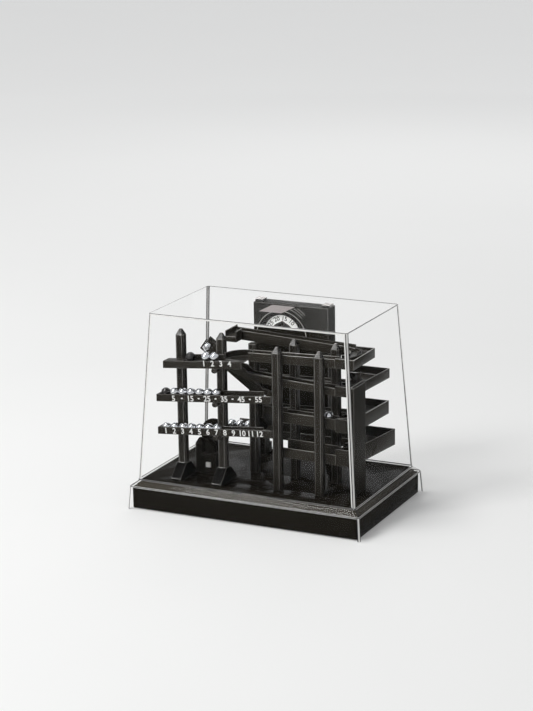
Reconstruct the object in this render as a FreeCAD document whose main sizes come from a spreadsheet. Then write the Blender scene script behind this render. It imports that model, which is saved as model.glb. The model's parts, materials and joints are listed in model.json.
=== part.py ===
import FreeCAD, Part
import os
import re

import Sketcher

# Rolling ball clock. Millimetres; X to the right, Y to the back, Z up. The origin is on the
# surface that the clock stands on, under the middle of its case. Balls roll in lanes that run
# along X, one behind the other: display rails, front tracks, lift arm, back tracks.

SIZES = {
    # case and clear cover
    "case_width": 254.0, "case_depth": 165.0, "case_height": 203.0,
    "skirt_height": 24.0, "skirt_flare": 1.8, "skirt_gap": 0.5,
    "flange_rise": 6.0, "flange_inset": 6.9, "floor_setback": 0.4,
    "hood_lean_side": 11.7, "hood_lean_front": 10.2,
    "cover_wall": 1.8, "cover_clearance": 0.5, "cover_bevel": 2.0,
    # base
    "floor_height": 29.5, "floor_thickness": 2.5, "base_wall": 2.4, "base_bevel": 1.5,
    "ledge_drop": 1.0, "foot_height": 1.0, "foot_radius": 6.0, "foot_inset": 14.0,
    "plate_thickness": 2.0, "plate_gap": 0.3, "screw_radius": 1.5, "screw_head": 2.8,
    "screw_head_height": 1.8, "screw_sink": 1.2, "screw_grip": 8.0, "screw_boss": 4.0, "screw_inset": 22.0,
    # battery bay
    "cell_radius": 13.1, "cell_length": 50.0, "cell_nub": 3.2, "cell_gap": 0.5, "bay_y": 32.0,
    "bay_end": 6.0, "bay_roof": 0.9, "rib_thickness": 2.0, "door_thickness": 1.2,
    "contact_thickness": 0.6,
    # adapter socket
    "socket_x": -70.0, "socket_z": 12.0, "socket_size": 11.0, "socket_bore": 2.8, "socket_pin": 1.0,
    "plug_room": 1.5,
    # posts
    "post_width": 9.0, "post_bevel": 1.5, "tip_height": 6.0, "tip_taper": 29.0,
    "post_front": -50.0, "post_a_x": -82.5, "post_b_x": -37.0, "post_c_x": 24.0, "post_d_x": 69.5,
    "post_g_x": -21.5, "left_tip": 185.0, "right_tip": 176.5, "back_tip": 175.0,
    "gusset_reach": 14.0, "gusset_height": 16.0, "gusset_toe": 2.5, "gusset_lip": 1.0,
    # balls and channels
    "ball_diameter": 9.525, "ball_gap": 0.1, "side_gap": 0.34, "channel_wall": 1.2,
    "channel_floor": 1.5, "rail_depth": 4.0, "wall_rise": 6.0, "running_gap": 0.4, "arm_gap": 1.2,
    "back_post_gap": 6.0,
    # front tracks: left end, top at the left end, slope up to the right, outer height
    "track_one_left": -10.0, "track_one_top": 166.2, "track_one_slope": 1.6, "track_one_height": 9.0,
    "track_two_left": -9.0, "track_two_top": 145.0, "track_two_slope": -3.4, "track_two_height": 8.0,
    "track_three_left": 27.0, "track_three_top": 109.0, "track_three_slope": -1.2,
    "track_three_height": 10.9,
    "track_four_left": 27.0, "track_four_top": 72.0, "track_four_slope": -1.1,
    "track_four_height": 10.4,
    # ramp and back tracks
    "ramp_left": -48.5, "ramp_top": 176.8, "ramp_slope": -2.55, "ramp_height": 9.5,
    "mouth_front_gap": 0.8, "mouth_bottom": 167.5, "mouth_floor": 173.2, "mouth_top": 179.0,
    "back_two_top": 131.1, "back_two_slope": 2.0, "back_two_height": 9.0,
    "back_three_top": 100.1, "back_three_slope": 2.0, "back_three_height": 9.0,
    "feed_top": 67.4, "feed_slope": 0.9, "feed_height": 9.0,
    "chute_left": -27.0, "chute_right": -14.0, "chute_top": 135.0, "chute_gap": 0.3,
    "chute_turn": 24.0, "chute_slide": 4.0, "feed_offset": 6.8,
    # return trays
    "spine_left": 101.0, "spine_thickness": 3.5, "spine_back": -12.0, "spine_top": 141.0,
    "tray_inner_left": 61.5, "tray_slant": 13.0, "tray_floor": 1.5,
    "tray_one_bottom": 159.5, "tray_one_top": 169.5, "tray_one_floor": 165.8,
    "tray_two_bottom": 131.4, "tray_two_top": 141.5, "tray_two_floor": 133.5,
    "tray_two_back": 42.0, "tray_two_flare": 3.5,
    "tray_three_bottom": 94.5, "tray_three_top": 108.3, "tray_three_floor": 100.6,
    "tray_three_back": 40.0, "tray_three_flare": 3.5,
    "tray_four_bottom": 60.0, "tray_four_top": 77.0, "tray_four_floor": 66.1,
    "tray_four_back": 47.0, "tray_four_flare": 7.5,
    # guide and catcher at the minute rail
    "guide_floor": 159.7, "guide_top": 166.0,
    "catcher_left": -33.0, "catcher_low": 147.0,
    "catcher_high": 151.0, "catcher_lip": 2.0, "catcher_knee": -17.0,
    "feeder_width": 7.0, "feeder_fall": 3.0, "five_feeder_top": 127.5, "hour_feeder_top": 92.0,
    # display rails: ends, bottom of the fascia at the left, slope, floor above that bottom
    "fascia_height": 7.5, "fascia_thickness": 1.5, "back_wall_rise": 6.2, "pivot_radius": 1.5,
    "pivot_fit": 0.2, "pivot_boss": 3.0, "pivot_cap": 2.4, "pivot_cap_length": 1.2,
    "minute_left": -94.5, "minute_right": -7.0, "minute_bottom": 146.9, "minute_slope": 5.25,
    "minute_floor": 5.7, "minute_lid_end": -73.0, "minute_wall_end": -31.0,
    "five_left": -103.0, "five_right": 25.0, "five_trough_right": 12.0, "five_bottom": 111.3,
    "five_slope": 5.1, "five_floor": 3.4,
    "hour_left": -102.3, "hour_right": 24.7, "hour_trough_right": 11.0, "hour_bottom": 77.0,
    "hour_slope": 4.8, "hour_floor": 1.2,
    "pivot_drop": 2.0,
    "minute_first_ball": -48.9, "five_first_ball": -85.4, "hour_first_ball": -95.1,
    "minute_weight_gap": 7.775, "five_weight_gap": 0.175,
    # lift arm and pick-up
    "axle_x": -1.0, "axle_z": 116.5, "arm_radius": 78.2, "arm_rest": 35.0, "arm_bar_width": 11.0,
    "arm_thickness": 3.0, "hub_radius": 8.0, "shaft_radius": 2.0, "shaft_fit": 0.3,
    "scoop_strip": 2.8, "scoop_wall": 1.0, "scoop_block": 12.0,
    "scoop_block_width": 8.0, "scoop_block_rise": 11.0, "lip_height": 6.5,
    "prong_thickness": 1.8, "prong_gap": 0.6, "prong_reach": 3.6, "prong_stop": 2.5,
    "prong_clear": 0.3,
    "pedestal_top": 50.0, "pedestal_width": 17.0, "pedestal_front": -30.0,
    "guard_radius": 16.0, "guard_thickness": 1.5, "short_post_tip": 65.0,
    "switch_size": 5.0, "switch_z": 38.0, "switch_depth": 2.5, "switch_gap": 0.2,
    "switch_travel": 3.0, "switch_rise": 1.0,
    # motor housing and clockwork
    "housing_left": -44.6, "housing_right": 39.6, "housing_front": 44.0, "housing_back": 62.0,
    "housing_bottom": 85.0, "housing_top": 196.0, "housing_wall": 1.8, "leg_width": 8.0,
    "leg_depth": 12.0, "leg_foot": 17.0, "foot_thickness": 3.0,
    "dial_x": -12.6, "dial_z": 164.1, "dial_outer": 20.4, "dial_inner": 12.8, "disc_radius": 22.0,
    "dial_sill": 8.0, "pointer_width": 10.0, "pointer_rise": 1.6,
    "disc_thickness": 1.0, "disc_gap": 0.4, "gear_thickness": 3.0, "gear_gap": 0.5,
    "gear_module": 1.0, "wheel_teeth": 27, "idler_teeth": 22, "pinion_teeth": 12,
    "tooth_root_width": 1.75, "tooth_tip_width": 0.6, "gear_pin": 1.5, "gear_fit": 0.2,
    "motor_radius": 12.0, "pinion_turn": 120.0,
    "label_thickness": 0.4, "label_near": 25.8, "label_lean": 15.3, "label_low": 22.6,
    "label_high": 30.6, "clip_width": 9.0, "clip_height": 3.0, "clip_depth": 10.0,
    "board_width": 50.0, "board_height": 10.0, "board_thickness": 1.6, "board_z": 92.5,
    "board_gap": 4.0,
}

doc = FreeCAD.newDocument("rolling_ball_clock")
sizes = doc.addObject("Spreadsheet::Sheet", "sizes")
for row, (alias, number) in enumerate(SIZES.items(), 1):
    sizes.set("A%d" % row, alias)
    sizes.set("B%d" % row, str(number))
    sizes.setAlias("B%d" % row, alias)
doc.recompute()

WORDS = re.compile(r"\b(" + "|".join(SIZES) + r")\b")
ALONG = {
    "X": FreeCAD.Rotation(FreeCAD.Vector(0, 1, 0), 90),
    "Y": FreeCAD.Rotation(FreeCAD.Vector(1, 0, 0), -90),
    "Z": FreeCAD.Rotation(),
}
nodes = {}


def bound(text):
    """An expression with every size in it pointed at the sheet."""
    return WORDS.sub(r"sizes.\1", str(text))


def value(text):
    """The number that an expression of sizes gives now."""
    return float(sizes.evalExpression(bound(text)))


def node(label, made):
    """Give a finished sub-part its name."""
    made.Label = label
    nodes[label] = made
    return made


class Piece:
    """A PartDesign body whose sketch points and depths are bound to the sheet.

    An outline is a list of points, or a tuple (across, up, radius) for a circle.
    """

    def __init__(self, label, named=True):
        self.body = doc.addObject("PartDesign::Body", label)
        if named:
            node(label, self.body)

    def sketch(self, plane, level, outlines):
        """A sketch on an origin plane, moved along that plane's own axis to a level."""
        made = self.body.newObject("Sketcher::SketchObject", self.body.Name + "_sketch")
        features = self.body.Origin.OriginFeatures
        support = next(item for item in features if item.Role == plane + "_Plane")
        made.AttachmentSupport = (support, [""])
        made.MapMode = "FlatFace"
        sign = "-" if plane == "XZ" else ""
        made.setExpression("AttachmentOffset.Base.z", bound("%s(%s)" % (sign, level)))
        for outline in outlines:
            draw = draw_circle if isinstance(outline, tuple) else draw_polygon
            draw(made, outline)
        return made

    def pad(self, plane, start, end, *outlines, taper=None):
        """Add material between two levels."""
        first = end if plane == "XZ" else start
        made = self.body.newObject("PartDesign::Pad", self.body.Name + "_pad")
        made.Profile = self.sketch(plane, first, outlines)
        made.setExpression("Length", bound("(%s) - (%s)" % (end, start)))
        if taper:
            made.setExpression("TaperAngle", bound("-(%s)" % taper))
        return made

    def pocket(self, plane, start, end, *outlines):
        """Take material away between two levels."""
        first = start if plane == "XZ" else end
        made = self.body.newObject("PartDesign::Pocket", self.body.Name + "_pocket")
        made.Profile = self.sketch(plane, first, outlines)
        made.setExpression("Length", bound("(%s) - (%s)" % (end, start)))
        return made

    def loft(self, kind, sections):
        """Loft through (height, outline) sections."""
        made = self.body.newObject("PartDesign::" + kind, self.body.Name + "_loft")
        profiles = [self.sketch("XY", height, [outline]) for height, outline in sections]
        made.Profile = profiles[0]
        made.Sections = profiles[1:]
        made.Ruled = True
        return made

    def place(self, x, y, z, turn):
        """Stand the body at a point, turned about the Y axis."""
        self.body.Placement = FreeCAD.Placement(
            FreeCAD.Vector(), FreeCAD.Rotation(FreeCAD.Vector(0, 1, 0), 1)
        )
        for axis, at in zip("xyz", (x, y, z)):
            self.body.setExpression("Placement.Base." + axis, bound(at))
        self.body.setExpression("Placement.Rotation.Angle", bound(turn))


def draw_polygon(sketch, points):
    """Closed outline whose corners are held at their expressions."""
    spots = [FreeCAD.Vector(value(across), value(up), 0) for across, up in points]
    first = sketch.GeometryCount
    count = len(spots)
    for index in range(count):
        line = Part.LineSegment(spots[index], spots[(index + 1) % count])
        sketch.addGeometry(line, False)
    for index in range(count):
        after = first + (index + 1) % count
        sketch.addConstraint(Sketcher.Constraint("Coincident", first + index, 2, after, 1))
    for index, point in enumerate(points):
        hold(sketch, first + index, 1, point)


def draw_circle(sketch, circle):
    """Full circle held at its centre and radius."""
    across, up, radius = circle
    centre = FreeCAD.Vector(value(across), value(up), 0)
    ring = Part.Circle(centre, FreeCAD.Vector(0, 0, 1), value(radius))
    index = sketch.addGeometry(ring, False)
    hold(sketch, index, 3, (across, up))
    size = sketch.addConstraint(Sketcher.Constraint("Radius", index, value(radius)))
    sketch.setExpression("Constraints[%d]" % size, bound(radius))


def hold(sketch, index, end, point):
    """Bind one point of a sketch to two expressions."""
    for kind, at in zip(("DistanceX", "DistanceY"), point):
        rule = sketch.addConstraint(Sketcher.Constraint(kind, -1, 1, index, end, value(at)))
        sketch.setExpression("Constraints[%d]" % rule, bound(at))


def box(x, y, z):
    """Block between a low and a high expression along each axis."""
    made = doc.addObject("Part::Box", "block")
    for axis, side, (low, high) in zip("xyz", ("Length", "Width", "Height"), (x, y, z)):
        made.setExpression(side, bound("(%s) - (%s)" % (high, low)))
        made.setExpression("Placement.Base." + axis, bound(low))
    return made


def rod(along, centre, radius, start, end):
    """Cylinder along an axis, with its centre given on the other two axes."""
    made = doc.addObject("Part::Cylinder", "rod")
    made.Placement = FreeCAD.Placement(FreeCAD.Vector(), ALONG[along])
    made.setExpression("Radius", bound(radius))
    made.setExpression("Height", bound("(%s) - (%s)" % (end, start)))
    others = [axis for axis in "xyz" if axis != along.lower()]
    made.setExpression("Placement.Base." + along.lower(), bound(start))
    for axis, at in zip(others, centre):
        made.setExpression("Placement.Base." + axis, bound(at))
    return made


def ball(x, y, z):
    """Steel ball."""
    made = doc.addObject("Part::Sphere", "ball")
    made.setExpression("Radius", bound("ball_diameter/2"))
    for axis, at in zip("xyz", (x, y, z)):
        made.setExpression("Placement.Base." + axis, bound(at))
    return made


def fuse(parts):
    """Union of parts; parts that do not touch stay separate solids."""
    made = doc.addObject("Part::MultiFuse", "fusion")
    made.Shapes = parts
    return made


def cut(base, tool):
    """Base less tool."""
    made = doc.addObject("Part::Cut", "cut")
    made.Base = base
    made.Tool = tool
    return made


def common(base, tool):
    """What base and tool share."""
    made = doc.addObject("Part::Common", "common")
    made.Base = base
    made.Tool = tool
    return made


def octagon(half_x, half_y, bevel, x="0", y="0"):
    """Rectangle about a centre, with bevelled corners."""
    near_x = "(%s) - (%s)" % (half_x, bevel)
    near_y = "(%s) - (%s)" % (half_y, bevel)
    turns = [(1, 1), (-1, 1), (-1, -1), (1, -1)]
    points = []
    for side, depth in turns:
        corner = [
            ("%s + %d*(%s)" % (x, side, half_x), "%s + %d*(%s)" % (y, depth, near_y)),
            ("%s + %d*(%s)" % (x, side, near_x), "%s + %d*(%s)" % (y, depth, half_y)),
        ]
        points += corner if side == depth else corner[::-1]
    return points


def rectangle(left, right, low, high):
    """Upright rectangle between four expressions."""
    return [(left, low), (right, low), (right, high), (left, high)]


def band(left, right, top, slope, upper, lower):
    """Sloping strip, given by two depths below a top line that starts at the left end."""
    rise = "((%s) - (%s))*tan(%s)" % (right, left, slope)
    return [
        (left, "(%s) - (%s)" % (top, lower)),
        (right, "(%s) + %s - (%s)" % (top, rise, lower)),
        (right, "(%s) + %s - (%s)" % (top, rise, upper)),
        (left, "(%s) - (%s)" % (top, upper)),
    ]


def line_height(left, start, slope, x):
    """Height at x of a sloping line."""
    return "(%s) + ((%s) - (%s))*tan(%s)" % (start, x, left, slope)


# Lanes, worked out from the front posts backwards.
BALL = "(ball_diameter/2)"
CHANNEL = "(ball_diameter + 2*side_gap + 2*channel_wall)"
RAIL = ("(post_front - running_gap - %s)" % CHANNEL, "(post_front - running_gap)")
FRONT = ("(post_front + post_width)", "(post_front + post_width + %s)" % CHANNEL)
ARM = ("(%s + arm_gap)" % FRONT[1], "(%s + arm_gap + %s - 2*side_gap)" % (FRONT[1], CHANNEL))
ARM_Y = "((%s + %s)/2)" % ARM
BACK_POST = "(%s + back_post_gap)" % ARM[1]
BACK = ("(%s + post_width)" % BACK_POST, "(%s + post_width + %s)" % (BACK_POST, CHANNEL))
RAIL_Y = "((%s + %s)/2)" % RAIL
FRONT_Y = "((%s + %s)/2)" % FRONT
BACK_Y = "((%s + %s)/2)" % BACK
FEED = ("(%s + feed_offset)" % BACK[1], "(%s + feed_offset + %s)" % (BACK[1], CHANNEL))
FEED_Y = "((%s + %s)/2)" % FEED

# What the swing of the lift arm leaves free.
ARM_REACH = "(arm_radius + %s + ball_gap + scoop_wall)" % BALL
TRAY_LEFT = "(axle_x + %s + arm_gap)" % ARM_REACH

# Ball on the pick-up prongs, at the height of the feed rail's low end.
FEED_FLOOR = "(feed_top - rail_depth)"
PICK_Z = "(%s + %s + ball_gap)" % (FEED_FLOOR, BALL)
PICK_X = "(axle_x - sqrt(arm_radius^2 - (axle_z - %s)^2))" % PICK_Z
CRADLE = ("(%s - %s/2)" % (PICK_X, CHANNEL), "(%s + %s/2)" % (PICK_X, CHANNEL))

# Case levels.
HALF_WIDTH = "(case_width/2)"
HALF_DEPTH = "(case_depth/2)"
BASE_X = "(case_width/2 - cover_wall - cover_clearance)"
BASE_Y = "(case_depth/2 - cover_wall - cover_clearance)"
LEDGE = "(skirt_height - ledge_drop)"
UNDER_FLOOR = "(floor_height - floor_thickness)"
PLATE_TOP = "(foot_height + plate_thickness)"


def clear_cover():
    """Clear hood with a sloped flange and a skirt, cut away at the back for the plug."""
    piece = Piece("clear_cover")

    def section(height, inset_x, inset_y, wall):
        half_x = "%s - (%s) - (%s)" % (HALF_WIDTH, inset_x, wall)
        half_y = "%s - (%s) - (%s)" % (HALF_DEPTH, inset_y, wall)
        return height, octagon(half_x, half_y, "cover_bevel")

    for kind, wall in (("AdditiveLoft", "0"), ("SubtractiveLoft", "cover_wall")):
        levels = [
            section("skirt_gap", "-skirt_flare", "-skirt_flare", wall),
            section("skirt_height", "0", "0", wall),
            section("skirt_height + flange_rise", "flange_inset", "flange_inset", wall),
            section(
                "case_height - (%s)" % wall,
                "flange_inset + hood_lean_side",
                "flange_inset + hood_lean_front",
                wall,
            ),
        ]
        piece.loft(kind, levels)
    reach = "socket_size/2 + plug_room"
    slot = rectangle(
        "socket_x - (%s)" % reach, "socket_x + %s" % reach, "0", "socket_z + %s" % reach
    )
    piece.pocket("XZ", "0", "case_depth", slot)


def base_shell():
    """Stepped black base, hollow from below, with ribs at both ends of the battery bay."""
    piece = Piece("base_shell")
    steps = [
        ("foot_height", LEDGE, "0"),
        (LEDGE, LEDGE + " + flange_rise/2", "flange_inset/2"),
        (LEDGE + " + flange_rise/2", "floor_height", "flange_inset + floor_setback"),
    ]
    for low, high, inset in steps:
        half_x = "%s - %s" % (BASE_X, inset)
        half_y = "%s - %s" % (BASE_Y, inset)
        piece.pad("XY", low, high, octagon(half_x, half_y, "base_bevel"))
    for high, inset in ((LEDGE + " - base_wall", "0"), (UNDER_FLOOR, "flange_inset")):
        half_x = "%s - %s - base_wall" % (BASE_X, inset)
        half_y = "%s - %s - base_wall" % (BASE_Y, inset)
        piece.pocket("XY", "foot_height", high, octagon(half_x, half_y, "base_bevel"))
    bay = rectangle(bay_end(-1)[1], bay_end(1)[0], *bay_depths())
    piece.pocket("XY", UNDER_FLOOR + " - 1", "floor_height - bay_roof", bay)
    for low, high in (bay_end(-1), bay_end(1)):
        piece.pad("XY", PLATE_TOP + " + plate_gap", UNDER_FLOOR, rectangle(low, high, *bay_depths()))
    bosses = [(x, y, "screw_boss") for x, y in plate_screws()]
    piece.pad("XY", PLATE_TOP, UNDER_FLOOR, *bosses)
    holes = [(x, y, "screw_radius") for x, y in plate_screws()]
    piece.pocket("XY", PLATE_TOP, UNDER_FLOOR + " - 3", *holes)
    through = [(x, y, "screw_radius") for x, y in frame_screws()]
    piece.pocket("XY", UNDER_FLOOR + " - 1", "floor_height", *through)
    jack = (("socket_x", "socket_z", "socket_size/2"),)
    piece.pocket("XZ", BASE_Y + " - base_wall - 1", BASE_Y, *jack)


def bay_depths():
    """Front and back of the battery bay."""
    half = "(2*cell_radius + cell_gap)"
    return "bay_y - %s" % half, "bay_y + %s" % half


def bay_end(side):
    """The rib at one end of the battery bay, as a low and a high x."""
    inner = "(cell_length + cell_nub + bay_end)"
    outer = "(cell_length + cell_nub + bay_end + rib_thickness)"
    return ("-" + outer, "-" + inner) if side < 0 else (inner, outer)


def plate_screws():
    """Centres of the four screws that hold the bottom plate."""
    return base_corners("screw_inset")


def base_corners(inset):
    """Four points at an inset from both sides of the base."""
    reach = ["(%s - %s)" % (half, inset) for half in (BASE_X, BASE_Y)]
    return [("%d*%s" % (x, reach[0]), "%d*%s" % (y, reach[1])) for x in (-1, 1) for y in (-1, 1)]


def frame_screws():
    """Centres of the screws that hold the posts, the spine and the housing legs."""
    middle = "post_front + post_width/2"
    behind = BACK_POST + " + post_width/2"
    front = [(x, middle) for x in ("post_a_x", "post_b_x", "post_c_x", "post_d_x")]
    back = [(x, behind) for x in ("post_g_x", "post_c_x", "post_d_x")]
    legs = [(x, "housing_back + (leg_foot - leg_depth)/2") for x in leg_centres()]
    return front + back + legs


def leg_centres():
    """Middle of each housing leg along X."""
    return ["housing_left + leg_width/2", "housing_right - leg_width/2"]


def bottom_plate():
    """Flat plate that closes the base, with the battery opening."""
    piece = Piece("bottom_plate")
    half_x = "%s - base_wall - plate_gap" % BASE_X
    half_y = "%s - base_wall - plate_gap" % BASE_Y
    piece.pad("XY", "foot_height", PLATE_TOP, octagon(half_x, half_y, "base_bevel"))
    low, high = bay_depths()
    opening = rectangle(bay_end(-1)[1], bay_end(1)[0], low, high)
    piece.pocket("XY", "foot_height", PLATE_TOP, opening)
    holes = [(x, y, "screw_radius + plate_gap") for x, y in plate_screws()]
    piece.pocket("XY", "foot_height", PLATE_TOP, *holes)
    sinks = [(x, y, "screw_head + plate_gap") for x, y in plate_screws()]
    piece.pocket("XY", "foot_height", "foot_height + screw_sink", *sinks)


def battery_bay():
    """Door, four cells in two rows, and the contacts at the ends of the rows."""
    low, high = bay_depths()
    door = box(
        ("%s + plate_gap" % bay_end(-1)[1], "%s - plate_gap" % bay_end(1)[0]),
        ("%s + plate_gap" % low, "%s - plate_gap" % high),
        ("foot_height", "foot_height + door_thickness"),
    )
    node("battery_door", door)
    middle = "foot_height + door_thickness + ball_gap + cell_radius"
    cells = []
    contacts = []
    for row in (-1, 1):
        y = "bay_y + %d*(cell_radius + cell_gap/2)" % row
        for start in ("-cell_length - cell_nub/2", "cell_nub/2"):
            can = rod("X", (y, middle), "cell_radius", start, start + " + cell_length")
            nub = rod(
                "X", (y, middle), "cell_nub", start + " + cell_length", start + " + cell_length + cell_nub"
            )
            cells.append(fuse([can, nub]))
        ends = {-1: "-cell_length - cell_nub/2", 1: "cell_length + 3*cell_nub/2"}
        for side, cell_end in ends.items():
            wall = bay_end(side)[1] if side < 0 else bay_end(side)[0]
            plate_x = (wall, wall + " + contact_thickness")
            spring = (wall + " + contact_thickness", cell_end + " - ball_gap")
            if side > 0:
                plate_x = (wall + " - contact_thickness", wall)
                spring = (cell_end + " + ball_gap", wall + " - contact_thickness")
            reach = "cell_radius/2"
            plate = box(
                plate_x,
                (y + " - " + reach, y + " + " + reach),
                (middle + " - " + reach, middle + " + " + reach),
            )
            coil = rod("X", (y, middle), "cell_nub", *spring)
            contacts.append(fuse([plate, coil]))
    node("battery_cells", fuse(cells))
    node("battery_contacts", fuse(contacts))


def base_fittings():
    """Rubber feet, screws and the adapter socket."""
    feet = [rod("Z", at, "foot_radius", "0", "foot_height") for at in base_corners("foot_inset")]
    node("rubber_feet", fuse(feet))
    screws = [screw(at, "foot_height + screw_sink", "screw_sink") for at in plate_screws()]
    screws += [screw(at, UNDER_FLOOR, "screw_head_height") for at in frame_screws()]
    node("base_screws", fuse(screws))
    back = BASE_Y
    body = box(
        ("socket_x - socket_size/2 - 1", "socket_x + socket_size/2 + 1"),
        (back + " - base_wall - socket_size", back + " - base_wall"),
        (PLATE_TOP, "socket_z + socket_size/2 + 1"),
    )
    barrel = rod("Y", ("socket_x", "socket_z"), "socket_size/2 - ball_gap", back + " - base_wall", back)
    bore = rod("Y", ("socket_x", "socket_z"), "socket_bore", back + " - socket_size", back + " + 1")
    pin = rod("Y", ("socket_x", "socket_z"), "socket_pin", back + " - socket_size - 1", back + " - 1")
    node("adapter_socket", fuse([cut(fuse([body, barrel]), bore), pin]))


def screw(centre, seat, head_height):
    """Screw driven upwards, with its head under a seat."""
    head = rod("Z", centre, "screw_head", "%s - %s" % (seat, head_height), seat)
    shank = rod("Z", centre, "screw_radius - ball_gap", seat, seat + " + screw_grip")
    return fuse([head, shank])


def post(label, x, front, tip, gusset=False, top=None):
    """Square bevelled post with a pointed tip, on a screw hole from below."""
    piece = Piece(label)
    middle = front + " + post_width/2"
    outline = octagon("post_width/2", "post_width/2", "post_bevel", x, middle)
    shoulder = top or "%s - tip_height" % tip
    piece.pad("XY", "floor_height", shoulder, outline)
    if not top:
        piece.pad("XY", shoulder, tip, outline, taper="tip_taper")
    if gusset:
        toe = "floor_height + gusset_toe"
        crest = "floor_height + gusset_height"
        back = front + " + post_width"
        fin = [
            (front + " - gusset_reach", "floor_height"),
            (back + " + gusset_reach", "floor_height"),
            (back + " + gusset_reach", toe),
            (back, crest),
            (front, crest),
            (front + " - gusset_reach", toe),
        ]
        half = "post_width/2 + gusset_lip"
        piece.pad("YZ", "%s - (%s)" % (x, half), "%s + %s" % (x, half), fin)
    hole = (x, middle, "screw_radius")
    piece.pocket("XY", "floor_height", "floor_height + screw_grip", hole)


def posts():
    """Seven posts and the side plate that carries the return trays."""
    post("front_post_a", "post_a_x", "post_front", "left_tip", gusset=True)
    post("front_post_b", "post_b_x", "post_front", "left_tip", gusset=True)
    post("front_post_c", "post_c_x", "post_front", "right_tip")
    post("front_post_d", "post_d_x", "post_front", "right_tip")
    post("back_post_e", "post_c_x", BACK_POST, "back_tip")
    post("back_post_f", "post_d_x", BACK_POST, "back_tip")
    corner = "post_g_x + post_width/2"
    under = line_height("ramp_left", "ramp_top - ramp_height", "ramp_slope", corner)
    post("back_post_g", "post_g_x", BACK_POST, "back_tip", top=under)
    plate = box(
        ("spine_left", "spine_left + spine_thickness"),
        (FRONT[0], "spine_back"),
        ("floor_height", "spine_top"),
    )
    node("spine_plate", plate)


def channel(label, lane, left, right, stem):
    """Sloping open channel along X, with its rolling floor between two walls."""
    piece = Piece(label)
    top, slope, height = (stem + end for end in ("_top", "_slope", "_height"))
    piece.pad("XZ", *lane, band(left, right, top, slope, "0", height))
    inner = (lane[0] + " + channel_wall", lane[1] + " - channel_wall")
    piece.pocket("XZ", *inner, band(left, right, top, slope, "-1", "rail_depth"))
    below = "rail_depth + channel_floor"
    piece.pocket("XZ", *inner, band(left, right, top, slope, below, height + " + 1"))
    return piece


def raise_wall(piece, lane, left, stem, start, end):
    """Raise the back wall of a channel between start and end."""
    top = line_height(left, stem + "_top", stem + "_slope", start) + " + wall_rise"
    strip = band(start, end, top, stem + "_slope", "0", "wall_rise + 1")
    piece.pad("XZ", lane[1] + " - channel_wall", lane[1], strip)


def front_tracks():
    """Four tracks behind the front posts; the second starts with the slanted catcher."""
    tracks = [
        channel(label, FRONT, label + "_left", TRAY_LEFT, label)
        for label in ("track_one", "track_two", "track_three", "track_four")
    ]
    raise_wall(tracks[3], FRONT, "track_four_left", "track_four", "track_four_left", TRAY_LEFT)
    two = tracks[1]
    join = "track_two_left"
    low = "track_two_top - track_two_height"
    floor = "track_two_top - rail_depth - channel_floor"
    side = [
        ("catcher_left", "catcher_low"),
        (join, low),
        (join, "track_two_top"),
        ("catcher_knee", "catcher_high"),
        ("catcher_left", "catcher_high + catcher_lip"),
    ]
    sole = [
        ("catcher_left", "catcher_low"),
        (join, floor),
        (join, floor + " + channel_floor"),
        ("catcher_left", "catcher_low + channel_floor"),
    ]
    two.pad("XZ", FRONT[0], FRONT[0] + " + channel_wall", side)
    two.pad("XZ", FRONT[1] + " - channel_wall", FRONT[1], side)
    two.pad("XZ", *FRONT, sole)


def back_tracks():
    """Top ramp with its mouth, two back tracks, the drop chute and the feed rail."""
    ramp = channel("top_ramp", BACK, "ramp_left", TRAY_LEFT, "ramp")
    mouth = Piece("ramp_mouth")
    start = "%s + mouth_front_gap" % ARM[1]
    right = "ramp_left + " + CHANNEL
    mouth.pad("YZ", "ramp_left", right, rectangle(start, BACK[0], "mouth_bottom", "mouth_top"))
    clear = ("ramp_left + channel_wall", right + " - channel_wall")
    mouth.pocket("YZ", *clear, rectangle(start, BACK[0], "mouth_floor", "mouth_top"))
    doorway = rectangle(*clear, BACK[0], BACK[0] + " + channel_wall")
    ramp.pocket("XY", "ramp_top - rail_depth", "mouth_top", doorway)
    end = rectangle(*BACK, "ramp_top - ramp_height", "mouth_top")
    ramp.pad("YZ", "ramp_left", "ramp_left + channel_wall", end)

    channel("back_track_two", BACK, "chute_right", TRAY_LEFT, "back_two")
    channel("back_track_three", BACK, "chute_right", TRAY_LEFT, "back_three")
    feed = channel("feed_rail", FEED, CRADLE[1], TRAY_LEFT, "feed")
    for start, end in ((CRADLE[1], "chute_left - chute_gap"), ("chute_right + chute_gap", TRAY_LEFT)):
        raise_wall(feed, FEED, CRADLE[1], "feed", start, end)
    drop_chute()


def drop_chute():
    """Upright chute that takes both back tracks down and back on to the feed rail."""
    chute = Piece("drop_chute")
    wall = " + channel_wall"
    foot = line_height(CRADLE[1], "feed_top", "feed_slope", "chute_right") + " + chute_gap"
    turn = foot + " + chute_turn"
    outside = [
        (BACK[0], "chute_top"),
        (BACK[0], turn + " - chute_slide - channel_floor"),
        (FEED[0], foot),
        (FEED[1], foot),
        (FEED[1], turn),
        (BACK[1], turn),
        (BACK[1], "chute_top"),
    ]
    inside = [
        (BACK[0] + wall, "chute_top + 1"),
        (BACK[0] + wall, turn + " - chute_slide"),
        (FEED[0] + wall, foot + " - 1"),
        (FEED[1] + " - channel_wall", foot + " - 1"),
        (FEED[1] + " - channel_wall", turn + " - channel_wall"),
        (BACK[1] + " - channel_wall", turn + " - channel_wall"),
        (BACK[1] + " - channel_wall", "chute_top + 1"),
    ]
    chute.pad("YZ", "chute_left", "chute_right", outside)
    chute.pocket("YZ", "chute_left" + wall, "chute_right - channel_wall", inside)
    doorway = rectangle(
        "chute_right - channel_wall - 1", "chute_right", BACK[0] + wall, BACK[1] + " - channel_wall"
    )
    for top in ("back_two_top", "back_three_top"):
        head = "chute_top" if top == "back_two_top" else top + " + ball_diameter"
        chute.pocket("XY", top + " - rail_depth", head, doorway)


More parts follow.
